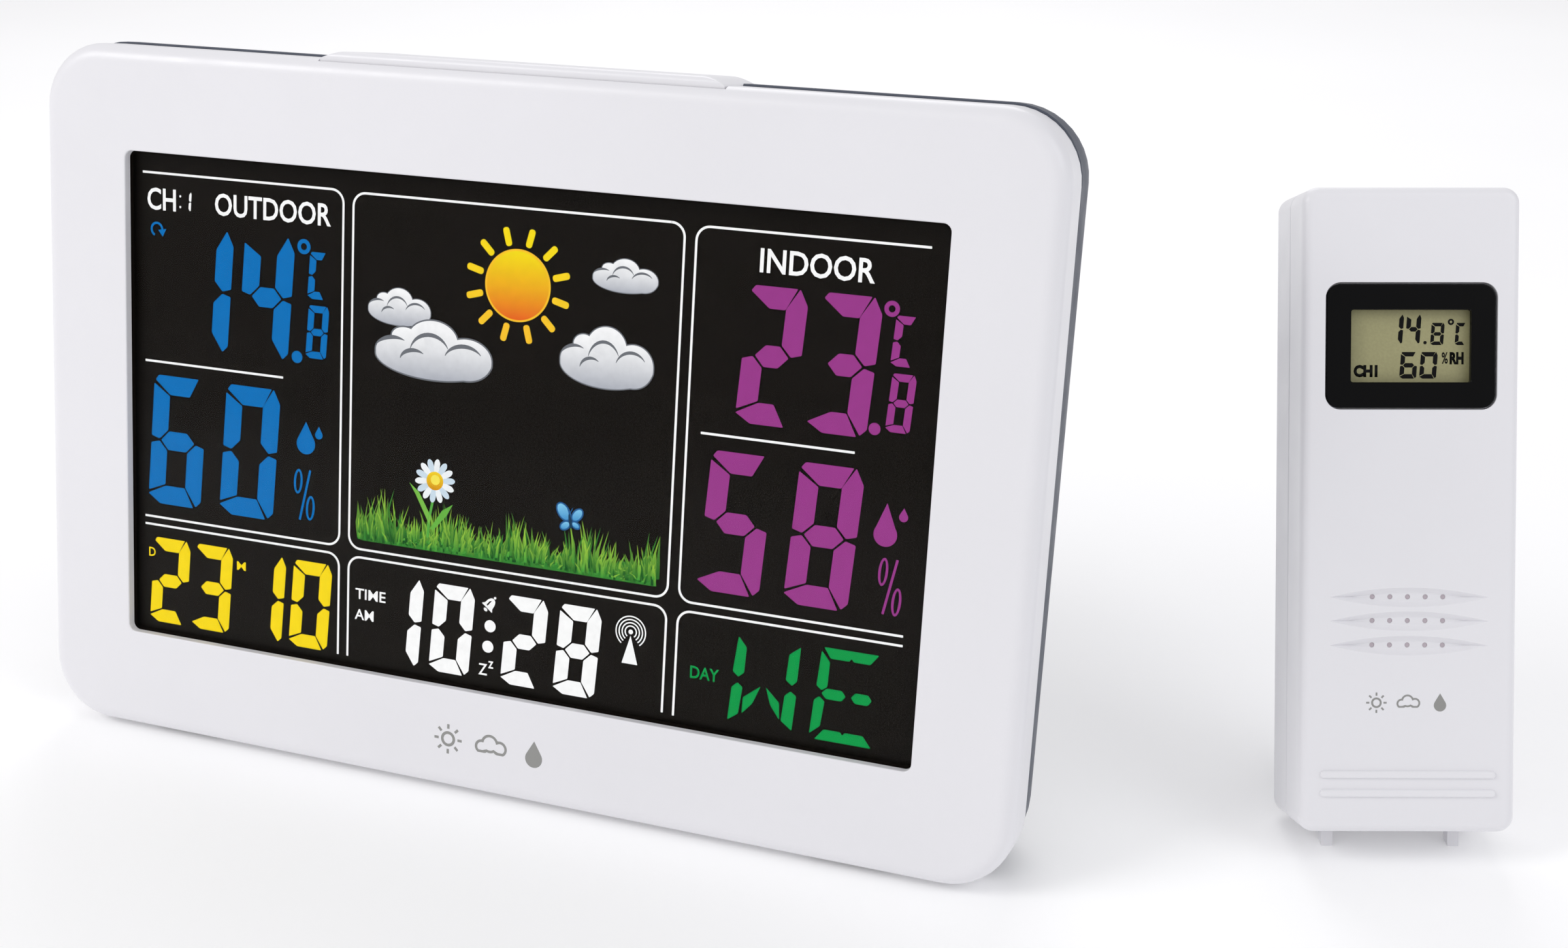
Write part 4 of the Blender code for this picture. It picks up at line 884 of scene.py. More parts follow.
VIEW_CORNER = (0.4 - SENSOR_VIEW[0] / 2, SENSOR_WINDOW_Z - SENSOR_VIEW[1] / 2)
DISPLAY = sheet(CONSOLE, "console", (-83.73, 18.63), 1.01036, 3.4, SEGMENTS, "display_glass")
SENSOR_SHEET = sheet(SENSOR, "sensor", VIEW_CORNER, 1.0, 2.1, INK, "sensor_glass")
CONSOLE_FACE = sheet(CONSOLE, "console", (0.0, 10.0), 1.0, 0.0, INK, "white_shell")
SENSOR_FACE = sheet(SENSOR, "sensor", (0.0, 23.0), 0.62, 0.0, INK, "white_shell")


def area_of(outline):
    return sum(a[0] * b[1] - b[0] * a[1] for a, b in zip(outline, outline[1:] + outline[:1])) / 2


class Art:
    """Flat coloured shapes gathered into one piece, each a thin closed slab on a sheet."""

    def __init__(self, name, where=DISPLAY):
        self.name = name
        self.sheet = where
        self.shape = bmesh.new()
        self.tints = []

    def at(self, point):
        left, low = self.sheet["corner"]
        return (left + self.sheet["scale"] * point[0], low + self.sheet["scale"] * point[1])

    def depth(self, level):
        """How deep in the unit the rear of a level's shapes is."""
        return self.sheet["front"] - ART_CLEAR - ART_STEP * level

    def ring(self, outline, depth):
        return [self.shape.verts.new((x, depth, z)) for x, z in outline]

    def walls(self, rear, front):
        for i in range(len(rear)):
            j = (i + 1) % len(rear)
            self.shape.faces.new((rear[i], rear[j], front[j], front[i]))

    def paint(self, heights, colour, low_colour, span):
        """One colour, or a blend from a low colour up to it over a span of heights."""
        lowest, highest = span or (min(heights), max(heights))
        for z in heights:
            share = (z - lowest) / max(highest - lowest, 1e-6)
            self.tints.append(mix(low_colour or colour, colour, min(max(share, 0.0), 1.0)))

    def add(self, outline, colour, level=0, low_colour=None, span=None):
        """One filled shape."""
        if area_of(outline) < 0:
            outline = outline[::-1]
        points = [self.at(point) for point in outline]
        back = self.depth(level)
        rear, front = self.ring(points, back), self.ring(points, back - ART_THICK)
        self.shape.faces.new(front)
        self.shape.faces.new(rear[::-1])
        self.walls(rear, front)
        self.paint([z for x, z in outline] * 2, colour, low_colour, span)

    def band(self, outer, inner, colour):
        """The band between two closed outlines of equally many points."""
        back = self.depth(0)
        rings = []
        for outline in (outer, inner):
            points = [self.at(point) for point in outline]
            rings.append((self.ring(points, back), self.ring(points, back - ART_THICK)))
        (outer_rear, outer_front), (inner_rear, inner_front) = rings
        self.walls(outer_rear, outer_front)
        self.walls(outer_front, inner_front)
        self.walls(inner_front, inner_rear)
        self.walls(inner_rear, outer_rear)
        self.tints += [colour] * (4 * len(outer))

    def text(self, words, left, low, right, high, colour, heavy):
        """Words fitted to a box."""
        curve = bpy.data.curves.new(words, "FONT")
        curve.body = words
        curve.offset = heavy
        curve.resolution_u = 3
        curve.fill_mode = "FRONT"
        holder = bpy.data.objects.new(words, curve)
        bpy.context.scene.collection.objects.link(holder)
        graph = bpy.context.evaluated_depsgraph_get()
        mesh = bpy.data.meshes.new_from_object(holder.evaluated_get(graph), depsgraph=graph)
        bpy.data.objects.remove(holder)
        flat = bmesh.new()
        flat.from_mesh(mesh)
        bmesh.ops.remove_doubles(flat, verts=flat.verts, dist=1e-5)
        xs = [vert.co.x for vert in flat.verts]
        ys = [vert.co.y for vert in flat.verts]
        wide, tall = (right - left) / (max(xs) - min(xs)), (high - low) / (max(ys) - min(ys))
        back = self.depth(0)
        for vert in flat.verts:
            x, z = self.at((left + (vert.co.x - min(xs)) * wide, low + (vert.co.y - min(ys)) * tall))
            vert.co = (x, back, z)
        made = bmesh.ops.extrude_face_region(flat, geom=flat.faces[:])
        moved = [item for item in made["geom"] if isinstance(item, bmesh.types.BMVert)]
        bmesh.ops.translate(flat, vec=(0.0, -ART_THICK, 0.0), verts=moved)
        bmesh.ops.recalc_face_normals(flat, faces=flat.faces)
        scrap = bpy.data.meshes.new("scrap")
        flat.to_mesh(scrap)
        flat.free()
        self.tints += [colour] * len(scrap.vertices)
        self.shape.from_mesh(scrap)
        bpy.data.meshes.remove(scrap)
        bpy.data.meshes.remove(mesh)

    def done(self):
        bmesh.ops.recalc_face_normals(self.shape, faces=self.shape.faces)
        piece = start(self.name, self.shape)
        layer = piece.data.color_attributes.new("tint", "FLOAT_COLOR", "POINT")
        for item, colour in zip(layer.data, self.tints):
            item.color = (*colour, 1.0)
        piece.data.transform(self.sheet["unit"])
        piece.data.materials.append(self.sheet["material"])
        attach(piece, self.sheet["body"])


def mix(low, high, share):
    return tuple(a + (b - a) * share for a, b in zip(low, high))


def smoothed(outline, radius, steps=4):
    """An outline with its corners rounded, less where its sides are short."""
    points = []
    count = len(outline)
    for i, corner in enumerate(outline):
        here = Vector(corner)
        back, on = Vector(outline[i - 1]) - here, Vector(outline[(i + 1) % count]) - here
        reach = min(radius, back.length * 0.45, on.length * 0.45)
        first, last = here + back.normalized() * reach, here + on.normalized() * reach
        for k in range(steps + 1):
            t = k / steps
            spot = first * (1 - t) ** 2 + here * 2 * t * (1 - t) + last * t * t
            points.append((spot.x, spot.y))
    return points


def seven_segments(width, height, thick, gap):
    """The seven shapes of an upright digit, from its lower left corner, by letter."""
    w, h, t, g = width, height, thick, gap / 2
    m, d = h / 2, g * 1.3
    corner = t * 0.75
    step, inner = d + 0.12 * t, t * 0.5 + g
    return {
        "a": [
            (d, h - corner * 0.35),
            (corner * 0.35, h),
            (w - t * 0.55, h),
            (w - t - d * 0.4, h - t),
            (t + d * 0.4, h - t),
        ],
        "b": [
            (w - t * 0.55 + d * 1.6, h),
            (w, h - corner),
            (w, m + step),
            (w - t * 0.5, m + g),
            (w - t, m + inner),
            (w - t, h - t + d * 0.6),
        ],
        "c": [
            (w, m - step),
            (w, d + t * 0.3),
            (w - t * 0.3, d),
            (w - t, t + d * 0.4),
            (w - t, m - inner),
            (w - t * 0.5, m - g),
        ],
        "d": [
            (corner, 0.0),
            (w - t * 0.45, 0.0),
            (w - t - d * 0.6, t),
            (t + d * 0.6, t),
            (d, h * 0.09 - d),
            (0.0, h * 0.07),
        ],
        "e": [(0.0, h * 0.09 + d * 0.8), (0.0, m - step), (t * 0.5, m - g), (t, m - inner), (t, t + d)],
        "f": [(0.0, m + step), (0.0, h - corner * 0.5 - d), (t, h - t - d), (t, m + inner), (t * 0.5, m + g)],
        "g": [
            (t * 0.5 + d * 1.4, m),
            (t + d, m + t * 0.5),
            (w - t - d, m + t * 0.5),
            (w - t * 0.5 - d * 1.4, m),
            (w - t - d, m - t * 0.5),
            (t + d, m - t * 0.5),
        ],
    }


DIGITS = {
    "0": "abcdef",
    "1": "bc",
    "2": "abged",
    "3": "abgcd",
    "4": "fgbc",
    "5": "afgcd",
    "6": "afgedc",
    "8": "abcdefg",
    "C": "afed",
}


def slanted(outline, x, z):
    return [(x + a + b * SLANT, z + b) for a, b in outline]


def write_digit(art, sign, x, z, width, height, thick, gap, colour):
    shapes = seven_segments(width, height, thick, gap)
    for letter in DIGITS[sign]:
        outline = slanted(shapes[letter], x, z)
        art.add(smoothed(outline, thick * 0.07), colour)


def line_points(points, width):
    """An open line's outline, at a width."""
    left, right = [], []
    for i, point in enumerate(points):
        before = Vector(points[max(i - 1, 0)])
        after = Vector(points[min(i + 1, len(points) - 1)])
        along = (after - before).normalized()
        side = Vector((-along.y, along.x)) * width / 2
        left.append(tuple(Vector(point) + side))
        right.append(tuple(Vector(point) - side))
    return left + right[::-1]


def bend(centre, radius, first, last, steps=10):
    points = []
    for i in range(steps + 1):
        angle = math.radians(first + (last - first) * i / steps)
        points.append((centre[0] + radius * math.cos(angle), centre[1] + radius * math.sin(angle)))
    return points


def add_ring(art, centre, outer, inner, colour):
    art.band(oval(centre, outer, outer, 32), oval(centre, inner, inner, 32), colour)


def make_lines():
    art = Art("display_lines")
    w, r = 0.42, 2.5
    white = SEGMENT_WHITE

    def line(points):
        art.add(line_points(points, w), white)

    def frame_open_left(left, right, low, high):
        turns = bend((right - r, high - r), r, 90, 0) + bend((right - r, low + r), r, 0, -90)
        line([(left, high)] + turns + [(left, low)])

    def frame_open_right(left, right, low, high):
        turns = bend((left + r, high - r), r, 90, 180) + bend((left + r, low + r), r, 180, 270)
        line([(right, high)] + turns + [(right, low)])

    frame_open_left(4.2, 48.0, 24.2, 90.9)
    line([(4.5, 54.95), (35.4, 54.95)])
    line([(4.2, 22.6)] + bend((48.0 - r, 22.6 - r), r, 90, 0) + [(48.0, 2.9)])
    box = bend((115.4 - r, 90.7 - r), r, 90, 0) + bend((115.4 - r, 24.2 + r), r, 0, -90)
    box += bend((50.1 + r, 24.2 + r), r, 270, 180) + bend((50.1 + r, 90.7 - r), r, 180, 90.5)
    line(box + [(115.4 - r - 0.05, 90.7)])
    top = bend((50.1 + r, 22.6 - r), r, 180, 90) + bend((115.4 - r, 22.6 - r), r, 90, 0)
    line([(50.1, 2.9)] + top + [(115.4, 2.9)])
    frame_open_right(117.6, 159.25, 24.1, 90.5)
    line([(120.2, 54.8), (148.4, 54.8)])
    line([(159.3, 22.4)] + bend((117.6 + r, 22.4 - r), r, 90, 180) + [(117.6, 2.7)])
    art.done()


def make_figures():
    blue, purple = SEGMENT_BLUE, SEGMENT_PURPLE
    out = Art("outdoor_figures")
    high, gap = 23.1, 0.42
    write_digit(out, "1", 24.6 - high * SLANT - 10.9, 58.1, 10.9, high, 3.7, gap, blue)
    write_digit(out, "4", 37.9 - high * SLANT - 10.9, 58.1, 10.9, high, 3.7, gap, blue)
    humid = 25.4
    for i, sign in enumerate("60"):
        write_digit(out, sign, 4.9 + 16.35 * i, 27.0, 12.0, humid, 3.7, gap, blue)
    add_ring(out, (39.7, 79.9), 1.4, 0.65, blue)
    write_digit(out, "C", 40.5, 70.4, 4.0, 8.7, 1.4, 0.2, blue)
    write_digit(out, "8", 40.2, 59.3, 4.4, 9.9, 1.3, 0.2, blue)
    out.add(oval((38.4, 59.2), 1.15, 1.15, 24), blue)
    drop(out, (40.5, 47.1), (40.5, 42.9), 2.0, blue)
    drop(out, (43.3, 46.5), (43.3, 44.9), 0.8, blue)
    percent(out, (38.9, 35.5), (41.6, 30.6), (0.95, 2.4), (39.3, 28.1), (41.5, 37.9), blue)
    out.add(line_points(bend((7.3, 80.3), 1.2, 245, -5, 18), 0.42), blue)
    out.add([(7.6, 80.2), (9.4, 80.5), (8.6, 79.0)], blue)
    out.done()

    inside = Art("indoor_figures")
    high = 23.95
    write_digit(inside, "2", 126.3, 57.5, 10.7, high, 3.8, gap, purple)
    write_digit(inside, "3", 126.3 + 13.15, 57.5, 10.7, high, 3.8, gap, purple)
    for i, sign in enumerate("58"):
        write_digit(inside, sign, 120.8 + 16.3 * i, 26.8, 11.8, 25.3, 3.8, gap, purple)
    add_ring(inside, (153.2, 79.8), 1.35, 0.6, purple)
    write_digit(inside, "C", 153.5, 70.3, 4.1, 8.5, 1.4, 0.2, purple)
    write_digit(inside, "8", 153.4, 59.1, 4.3, 10.0, 1.3, 0.2, purple)
    inside.add(oval((151.6, 59.3), 1.05, 1.05, 24), purple)
    drop(inside, (154.8, 46.9), (154.8, 41.4), 2.1, purple)
    drop(inside, (157.8, 46.4), (157.8, 44.8), 0.8, purple)
    percent(inside, (154.9, 34.9), (157.6, 29.9), (0.87, 2.5), (155.3, 27.5), (157.3, 37.3), purple)
    inside.done()

    date = Art("date_figures")
    for sign, x in (("2", 5.1), ("3", 5.1 + 9.75), ("1", 36.5 - 8.5 - 17.15 * SLANT), ("0", 37.0)):
        write_digit(date, sign, x, 3.0, 8.5, 17.15, 2.6, 0.36, SEGMENT_YELLOW)
    date.done()

    clock = Art("clock_figures")
    for sign, right in (("1", 66.5), ("0", 77.2), ("2", 92.25), ("8", 103.0)):
        write_digit(clock, sign, right - 8.4 - 17.1 * SLANT, 3.0, 8.4, 17.1, 2.8, 0.36, SEGMENT_WHITE)
    for spot in ((80.35, 13.5), (80.0, 9.5)):
        clock.add(oval(spot, 1.15, 1.15, 28), SEGMENT_WHITE)
    clock.done()


def drop(art, tip, centre, radius, colour):
    """A drop of water: a round with a tip above it."""
    points = [tip]
    for i in range(25):
        angle = math.radians(35 - i * 250 / 24)
        points.append((centre[0] + radius * math.cos(angle), centre[1] + radius * math.sin(angle)))
    art.add(points, colour)


def percent(art, upper, lower, half, foot, head, colour):
    for centre in (upper, lower):
        outer = oval(centre, half[0], half[1], 32, -0.06)
        art.band(outer, oval(centre, half[0] - 0.45, half[1] - 0.45, 32, -0.06), colour)
    art.add(line_points([foot, head], 0.45), colour)


def make_captions():
    art = Art("display_captions")
    white, yellow, green = SEGMENT_WHITE, SEGMENT_YELLOW, SEGMENT_GREEN
    art.text("CH", 5.2, 83.9, 11.6, 88.1, white, 0.016)
    for z in (84.9, 86.9):
        art.add(oval((12.6, z), 0.22, 0.22, 12), white)
    write_digit(art, "1", 13.0, 84.2, 1.9, 3.6, 0.5, 0.1, white)
    art.text("OUTDOOR", 20.3, 84.0, 45.4, 88.2, white, 0.016)
    art.text("INDOOR", 129.4, 83.6, 149.9, 87.8, white, 0.016)
    art.text("TIME", 51.7, 14.5, 58.2, 16.55, white, 0.012)
    art.text("AM", 51.6, 10.45, 55.7, 12.5, white, 0.012)
    art.text("Z", 78.2, 3.9, 80.0, 6.1, white, 0.01)
    art.text("z", 80.2, 5.4, 81.25, 6.8, white, 0.01)
    art.text("D", 5.0, 16.1, 6.5, 17.9, yellow, 0.01)
    art.text("M", 25.3, 16.2, 27.3, 17.9, yellow, 0.008)
    art.text("DAY", 120.5, 10.3, 126.0, 12.6, green, 0.014)
    art.done()


def make_signs():
    """The alarm's bell and the radio mast."""
    art = Art("display_signs")
    white = SEGMENT_WHITE
    turn = math.radians(-38)

    def tilted(points):
        made = []
        for x, z in points:
            right, up = x * math.cos(turn) - z * math.sin(turn), x * math.sin(turn) + z * math.cos(turn)
            made.append((80.2 + right, 17.7 + up))
        return made

    side = [(-1.45, -1.0), (-0.95, -0.5), (-0.85, 0.5), (-0.5, 1.15)]
    bell = side + [(0.0, 1.35)] + [(-x, z) for x, z in reversed(side)]
    art.add(tilted(smoothed(bell, 0.3)), white)
    art.add(tilted([(-0.45, -0.55), (-0.4, 0.4), (-0.1, 0.8), (-0.15, -0.55)]), (0.010, 0.008, 0.006), 1)
    art.add(tilted(oval((0.0, -1.45), 0.42, 0.3, 16)), white)
    art.add(tilted(oval((0.0, 1.65), 0.25, 0.25, 12)), white)
    mast = (108.65, 16.9)
    art.add(oval(mast, 0.45, 0.45, 16), white)
    art.add([(108.65, 16.2), (107.1, 10.9), (110.2, 10.9)], white)
    for radius in (1.1, 1.7, 2.3, 2.9):
        for first in (-52.0, 142.0):
            art.add(line_points(bend(mast, radius, first, first + 90.0, 14), 0.24), white)
        art.add(line_points(bend(mast, radius, 38.0, 142.0, 14), 0.24), white)
    art.done()


def make_weekday():
    """The weekday's two letters, in fourteen segments."""
    art = Art("day_figures")
    shapes = (
        [(128.05, 3.8), (130.0, 5.2), (130.6, 10.2), (129.6, 10.95), (128.55, 10.0)],
        [(128.6, 12.9), (129.7, 12.0), (130.75, 12.9), (131.0, 17.6), (129.4, 19.4)],
        [(138.6, 12.9), (139.8, 12.0), (140.7, 12.9), (141.05, 19.2), (139.0, 17.6)],
        [(138.1, 5.3), (140.2, 3.8), (140.7, 10.2), (139.6, 10.95), (138.55, 10.0)],
        [(134.0, 10.9), (130.8, 8.4), (130.7, 5.4), (132.6, 7.5)],
        [(135.0, 10.9), (137.6, 8.5), (137.8, 5.4), (136.0, 7.8)],
        [(144.3, 12.9), (145.3, 12.15), (146.3, 12.9), (146.5, 17.4), (144.9, 19.3)],
        [(143.5, 4.0), (145.4, 5.6), (145.95, 10.2), (144.9, 11.0), (144.0, 10.2)],
        [
            (146.6, 18.1),
            (150.0, 18.1),
            (150.4, 18.7),
            (150.8, 18.1),
            (153.8, 18.1),
            (155.3, 20.0),
            (145.3, 20.0),
        ],
        [(145.3, 11.65), (146.2, 12.6), (149.0, 12.6), (149.75, 11.65), (149.0, 10.7), (146.2, 10.7)],
        [(150.7, 11.65), (151.5, 12.6), (153.8, 12.6), (154.5, 11.65), (153.8, 10.7), (151.5, 10.7)],
        [(144.5, 3.1), (154.9, 3.1), (153.3, 5.1), (150.0, 5.1), (149.6, 4.5), (149.2, 5.1), (146.1, 5.1)],
    )
    for outline in shapes:
        art.add(smoothed(outline, 0.25), SEGMENT_GREEN)
    art.done()


def make_marks():
    """Three small printed signs on each unit's face: a sun, a cloud and a drop."""
    for name, face in (("console_signs", CONSOLE_FACE), ("sensor_signs", SENSOR_FACE)):
        art = Art(name, face)
        add_ring(art, (-9.0, 0.0), 1.5, 0.95, MARK_GREY)
        for i in range(8):
            out = Vector((math.cos(math.pi / 4 * i), math.sin(math.pi / 4 * i)))
            centre = Vector((-9.0, 0.0))
            art.add(line_points([centre + out * 2.0, centre + out * 2.9], 0.5), MARK_GREY)
        art.band(cloud_outline(0.25), cloud_outline(-0.25), MARK_GREY)
        drop(art, (9.0, 2.7), (9.0, -0.7), 1.75, MARK_GREY)
        art.done()


def cloud_outline(grow):
    """One outline round three puffs of cloud with a flat base, as seen from its middle."""
    puffs = ((-1.9, -0.25, 1.15), (-0.2, 0.55, 1.55), (1.9, -0.1, 1.25))
    points = []
    for i in range(96):
        angle = 2 * math.pi * i / 96
        way = Vector((math.cos(angle), math.sin(angle)))
        far = 0.0
        for px, py, radius in puffs:
            along = way.x * px + way.y * py
            rest = (radius + grow) ** 2 - (px * px + py * py - along * along)
            if rest > 0:
                far = max(far, along + math.sqrt(rest))
        points.append((way.x * far, max(way.y * far, -1.15 - grow)))
    return points


SKY_WHITE, CLOUD_LOW, CLOUD_EDGE = (0.97, 0.97, 0.98), (0.40, 0.42, 0.48), (0.16, 0.17, 0.19)
SUN_TOP, SUN_LOW, SUN_RIM = (0.955, 0.750, 0.010), (0.838, 0.130, 0.018), (0.98, 0.56, 0.03)
LOBES = (
    (0.50, 0.38, 0.50, 0.36),
    (0.17, 0.43, 0.17, 0.25),
    (0.255, 0.68, 0.12, 0.17),
    (0.495, 0.66, 0.22, 0.34),
    (0.78, 0.42, 0.22, 0.35),
)


def cloud(art, left, low, right, high, level):
    """A cloud of five lobes: a grey edge, white lobes that darken downwards, and inner folds."""
    wide, tall = right - left, high - low
    line = 0.02 * wide

    def lobe(spot, grow=0.0):
        x, z, across, up = spot
        return oval((left + x * wide, low + z * tall), across * wide + grow, up * tall + grow, 48)

    for spot in LOBES:
        art.add(lobe(spot), CLOUD_EDGE, level)
    for spot in LOBES:
        art.add(lobe(spot, -line * 0.6), SKY_WHITE, level + 1, CLOUD_LOW, (low, low + 0.75 * tall))
    folds = (
        ((0.17, 0.40), (0.17, 0.25), 60, 150),
        ((0.47, 0.42), (0.17, 0.33), 25, 165),
        ((0.76, 0.36), (0.17, 0.27), 35, 160),
        ((0.34, 0.30), (0.12, 0.18), 50, 170),
    )
    for (x, z), (across, up), first, last in folds:
        points = []
        for i in range(15):
            angle = math.radians(first + (last - first) * i / 14)
            along, over = x + across * math.cos(angle), z + up * math.sin(angle)
            points.append((left + along * wide, low + over * tall))
        art.add(tapered(points, line * 0.7), CLOUD_EDGE, level + 2)


def tapered(points, width):
    """A stroke that is widest at its middle."""
    count = len(points) - 1
    left, right = [], []
    for i, point in enumerate(points):
        along = (Vector(points[min(i + 1, count)]) - Vector(points[max(i - 1, 0)])).normalized()
        side = Vector((-along.y, along.x)) * width * (0.15 + math.sin(math.pi * i / count))
        left.append(tuple(Vector(point) + side))
        right.append(tuple(Vector(point) - side))
    return left + right[::-1]


def make_sky():
    art = Art("weather_sky")
    centre, radius = (83.85, 76.95), 6.5
    art.add(oval(centre, radius, radius, 64), SUN_RIM, 0)
    art.add(oval(centre, radius - 0.35, radius - 0.35, 64), SUN_TOP, 1, SUN_LOW)
    for i in range(12):
        angle = math.radians(15 + 30 * i)
        out = Vector((math.cos(angle), math.sin(angle)))
        middle = Vector(centre) + out * 8.8
        ray = []
        for a, b in rounded_rect(3.4, 1.25, 0.55, steps=4):
            ray.append((middle.x + a * out.x - b * out.y, middle.y + a * out.y + b * out.x))
        art.add(ray, mix(SUN_RIM, SUN_TOP, 0.5 + 0.5 * out.y), 0)
    cloud(art, 98.3, 77.4, 111.0, 83.7, 0)
    cloud(art, 92.5, 60.0, 110.9, 71.6, 0)
    cloud(art, 53.4, 67.05, 66.6, 74.3, 0)
    cloud(art, 55.0, 57.6, 79.4, 69.2, 3)
    art.done()


GRASS_DARK, GRASS_MID, GRASS_TIP = (0.006, 0.060, 0.012), (0.035, 0.240, 0.030), (0.420, 0.650, 0.060)


WING_EDGE, WING_TOP, WING_LOW = (0.020, 0.110, 0.300), (0.230, 0.600, 0.860), (0.060, 0.300, 0.620)
PETAL = ((1.3, -0.30), (2.6, -0.60), (3.6, -0.58), (4.15, -0.20))
LEAVES = (
    ([(67.2, 31.0), (64.2, 36.4), (62.9, 38.4), (64.9, 36.9), (67.6, 32.4)], (0.20, 0.52, 0.07)),
    ([(67.4, 30.4), (69.8, 34.0), (72.0, 35.4), (70.8, 33.2), (68.0, 30.0)], (0.14, 0.46, 0.06)),
)


def make_meadow():
    """Grass along the picture's foot, with a flower and a butterfly."""
    art = Art("weather_meadow")
    draw = random.Random(31)
    left, right, low = 51.9, 113.7, 26.0
    bank = [(left + 1.0, low), (right - 1.0, low)]
    for i in range(41):
        x = right - (right - left) * i / 40
        bank.append((x, low + 3.2 + 0.7 * math.sin(i * 1.7)))
    art.add(bank, mix(GRASS_DARK, GRASS_MID, 0.4), 0, GRASS_MID)
    for i in range(560):
        x = left + (right - left) * draw.random()
        near = draw.randrange(3)
        tall = draw.uniform(4.2, 9.6) * (0.80 + 0.20 * math.sin(x * 0.45 + 1.0)) - near * 1.1
        lean = draw.uniform(-1.7, 1.7)
        half = draw.uniform(0.15, 0.32)
        foot = low + draw.uniform(0.0, 1.6)
        tip = (min(max(x + lean, left), right), foot + tall)
        middle = (x + lean * 0.3, foot + tall * 0.55)
        x = min(max(x, left + half), right - half)
        waist = half * 0.75
        blade = [(x - half, foot), (x + half, foot), (middle[0] + waist, middle[1])]
        blade += [tip, (middle[0] - waist, middle[1])]
        bright = draw.random() ** 1.4
        top = mix(GRASS_MID, GRASS_TIP, bright)
        art.add(blade, top, 1 + near, mix(GRASS_DARK, GRASS_MID, 1.6 * bright))
    stem = [(66.9, 28.5), (67.1, 32.0), (67.9, 36.0), (68.2, 39.0)]
    art.add(line_points(stem, 0.5), (0.10, 0.42, 0.06), 4)
    for outline, green in LEAVES:
        art.add(outline, green, 4)
    centre = Vector((68.2, 39.4))
    for i in range(14):
        angle = 2 * math.pi * i / 14 + 0.1
        out = Vector((math.cos(angle), math.sin(angle)))
        side = Vector((-out.y, out.x))
        petal = []
        for a, b in PETAL + tuple((a, -b) for a, b in reversed(PETAL)):
            spot = centre + out * a + side * b
            petal.append((spot.x, spot.y))
        art.add(smoothed(petal, 0.3), (0.90, 0.93, 0.95) if i % 2 else (0.62, 0.74, 0.84), 5 + i % 2)
    art.add(oval(centre, 1.75, 1.75, 32), (0.95, 0.66, 0.02), 7, (0.70, 0.30, 0.01))
    art.add(oval(centre + Vector((0.1, 0.2)), 0.95, 0.95, 24), (0.98, 0.82, 0.10), 8)
    body = Vector((95.9, 35.6))
    wings = (
        ((-1.4, 1.6), 1.9, 1.25, 2.2),
        ((1.35, 1.3), 1.5, 1.0, 0.9),
        ((-1.0, -0.9), 1.2, 0.85, 0.6),
        ((1.1, -0.6), 1.0, 0.7, -0.5),
    )
    for spot, across, up, turn in wings:
        middle = body + Vector(spot)
        art.add(oval(middle, across, up, 28, turn), WING_EDGE, 5)
        art.add(oval(middle, across - 0.28, up - 0.28, 28, turn), WING_TOP, 6, WING_LOW)
    art.add(oval(body, 0.28, 1.4, 20, 0.2), (0.010, 0.040, 0.090), 7)
    for reach in (-0.7, 0.4):
        feeler = line_points([(body.x - 0.2, body.y + 1.2), (body.x + reach, body.y + 2.5)], 0.14)
        art.add(feeler, WING_EDGE, 7)
    art.done()


def make_display():
    lens = start("display_cover", stack("Y", lens_steps()))
    finish(lens, CONSOLE, "console", LENS, ("display_lens",))
    outer, inner = window_outline(5.8, 1.2), window_outline(-1.0, 0.8)
    rings = [(1.885, outer), (1.865, outer), (1.865, inner), (1.885, inner)]
    border = start("display_border", stack("Y", rings, closed=True))
    finish(border, CONSOLE, "console", PRINT_BLACK)
    make_lines()
    make_figures()
    make_captions()
    make_signs()
    make_weekday()
    make_sky()
    make_meadow()


def lens_steps():
    """A flat clear sheet with its edges just broken."""
    front, back, edge = WINDOW_DEEP + GAP, WINDOW_DEEP + GAP + 1.2, 0.15
    return (
        (front, window_outline(6.0 - 2 * edge, 1.2)),
        (front + edge, window_outline(6.0, 1.2)),
        (back - edge, window_outline(6.0, 1.2)),
        (back, window_outline(6.0 - 2 * edge, 1.2)),
    )


# Sensor


def sensor_outline(inset):
    width, height = SENSOR_WIDTH - 2 * inset, SENSOR_HEIGHT - 2 * inset
    return rounded_rect(width, height, max(SENSOR_CORNER - inset, 0.6), (0.0, SENSOR_HEIGHT / 2))


def lens_outline(length, height, centre_z, steps=16):
    """A flat pointed oval, as of a louvre."""
    points = []
    for sign in (1, -1):
        for i in range(steps):
            x = sign * length * (0.5 - i / steps)
            points.append((x, centre_z + sign * height / 2 * (1 - (2 * x / length) ** 2)))
    return points


def pinholes():
    return [(PINHOLE_PITCH * i, z) for z in LOUVRE_ROWS for i in range(-2, 3)]


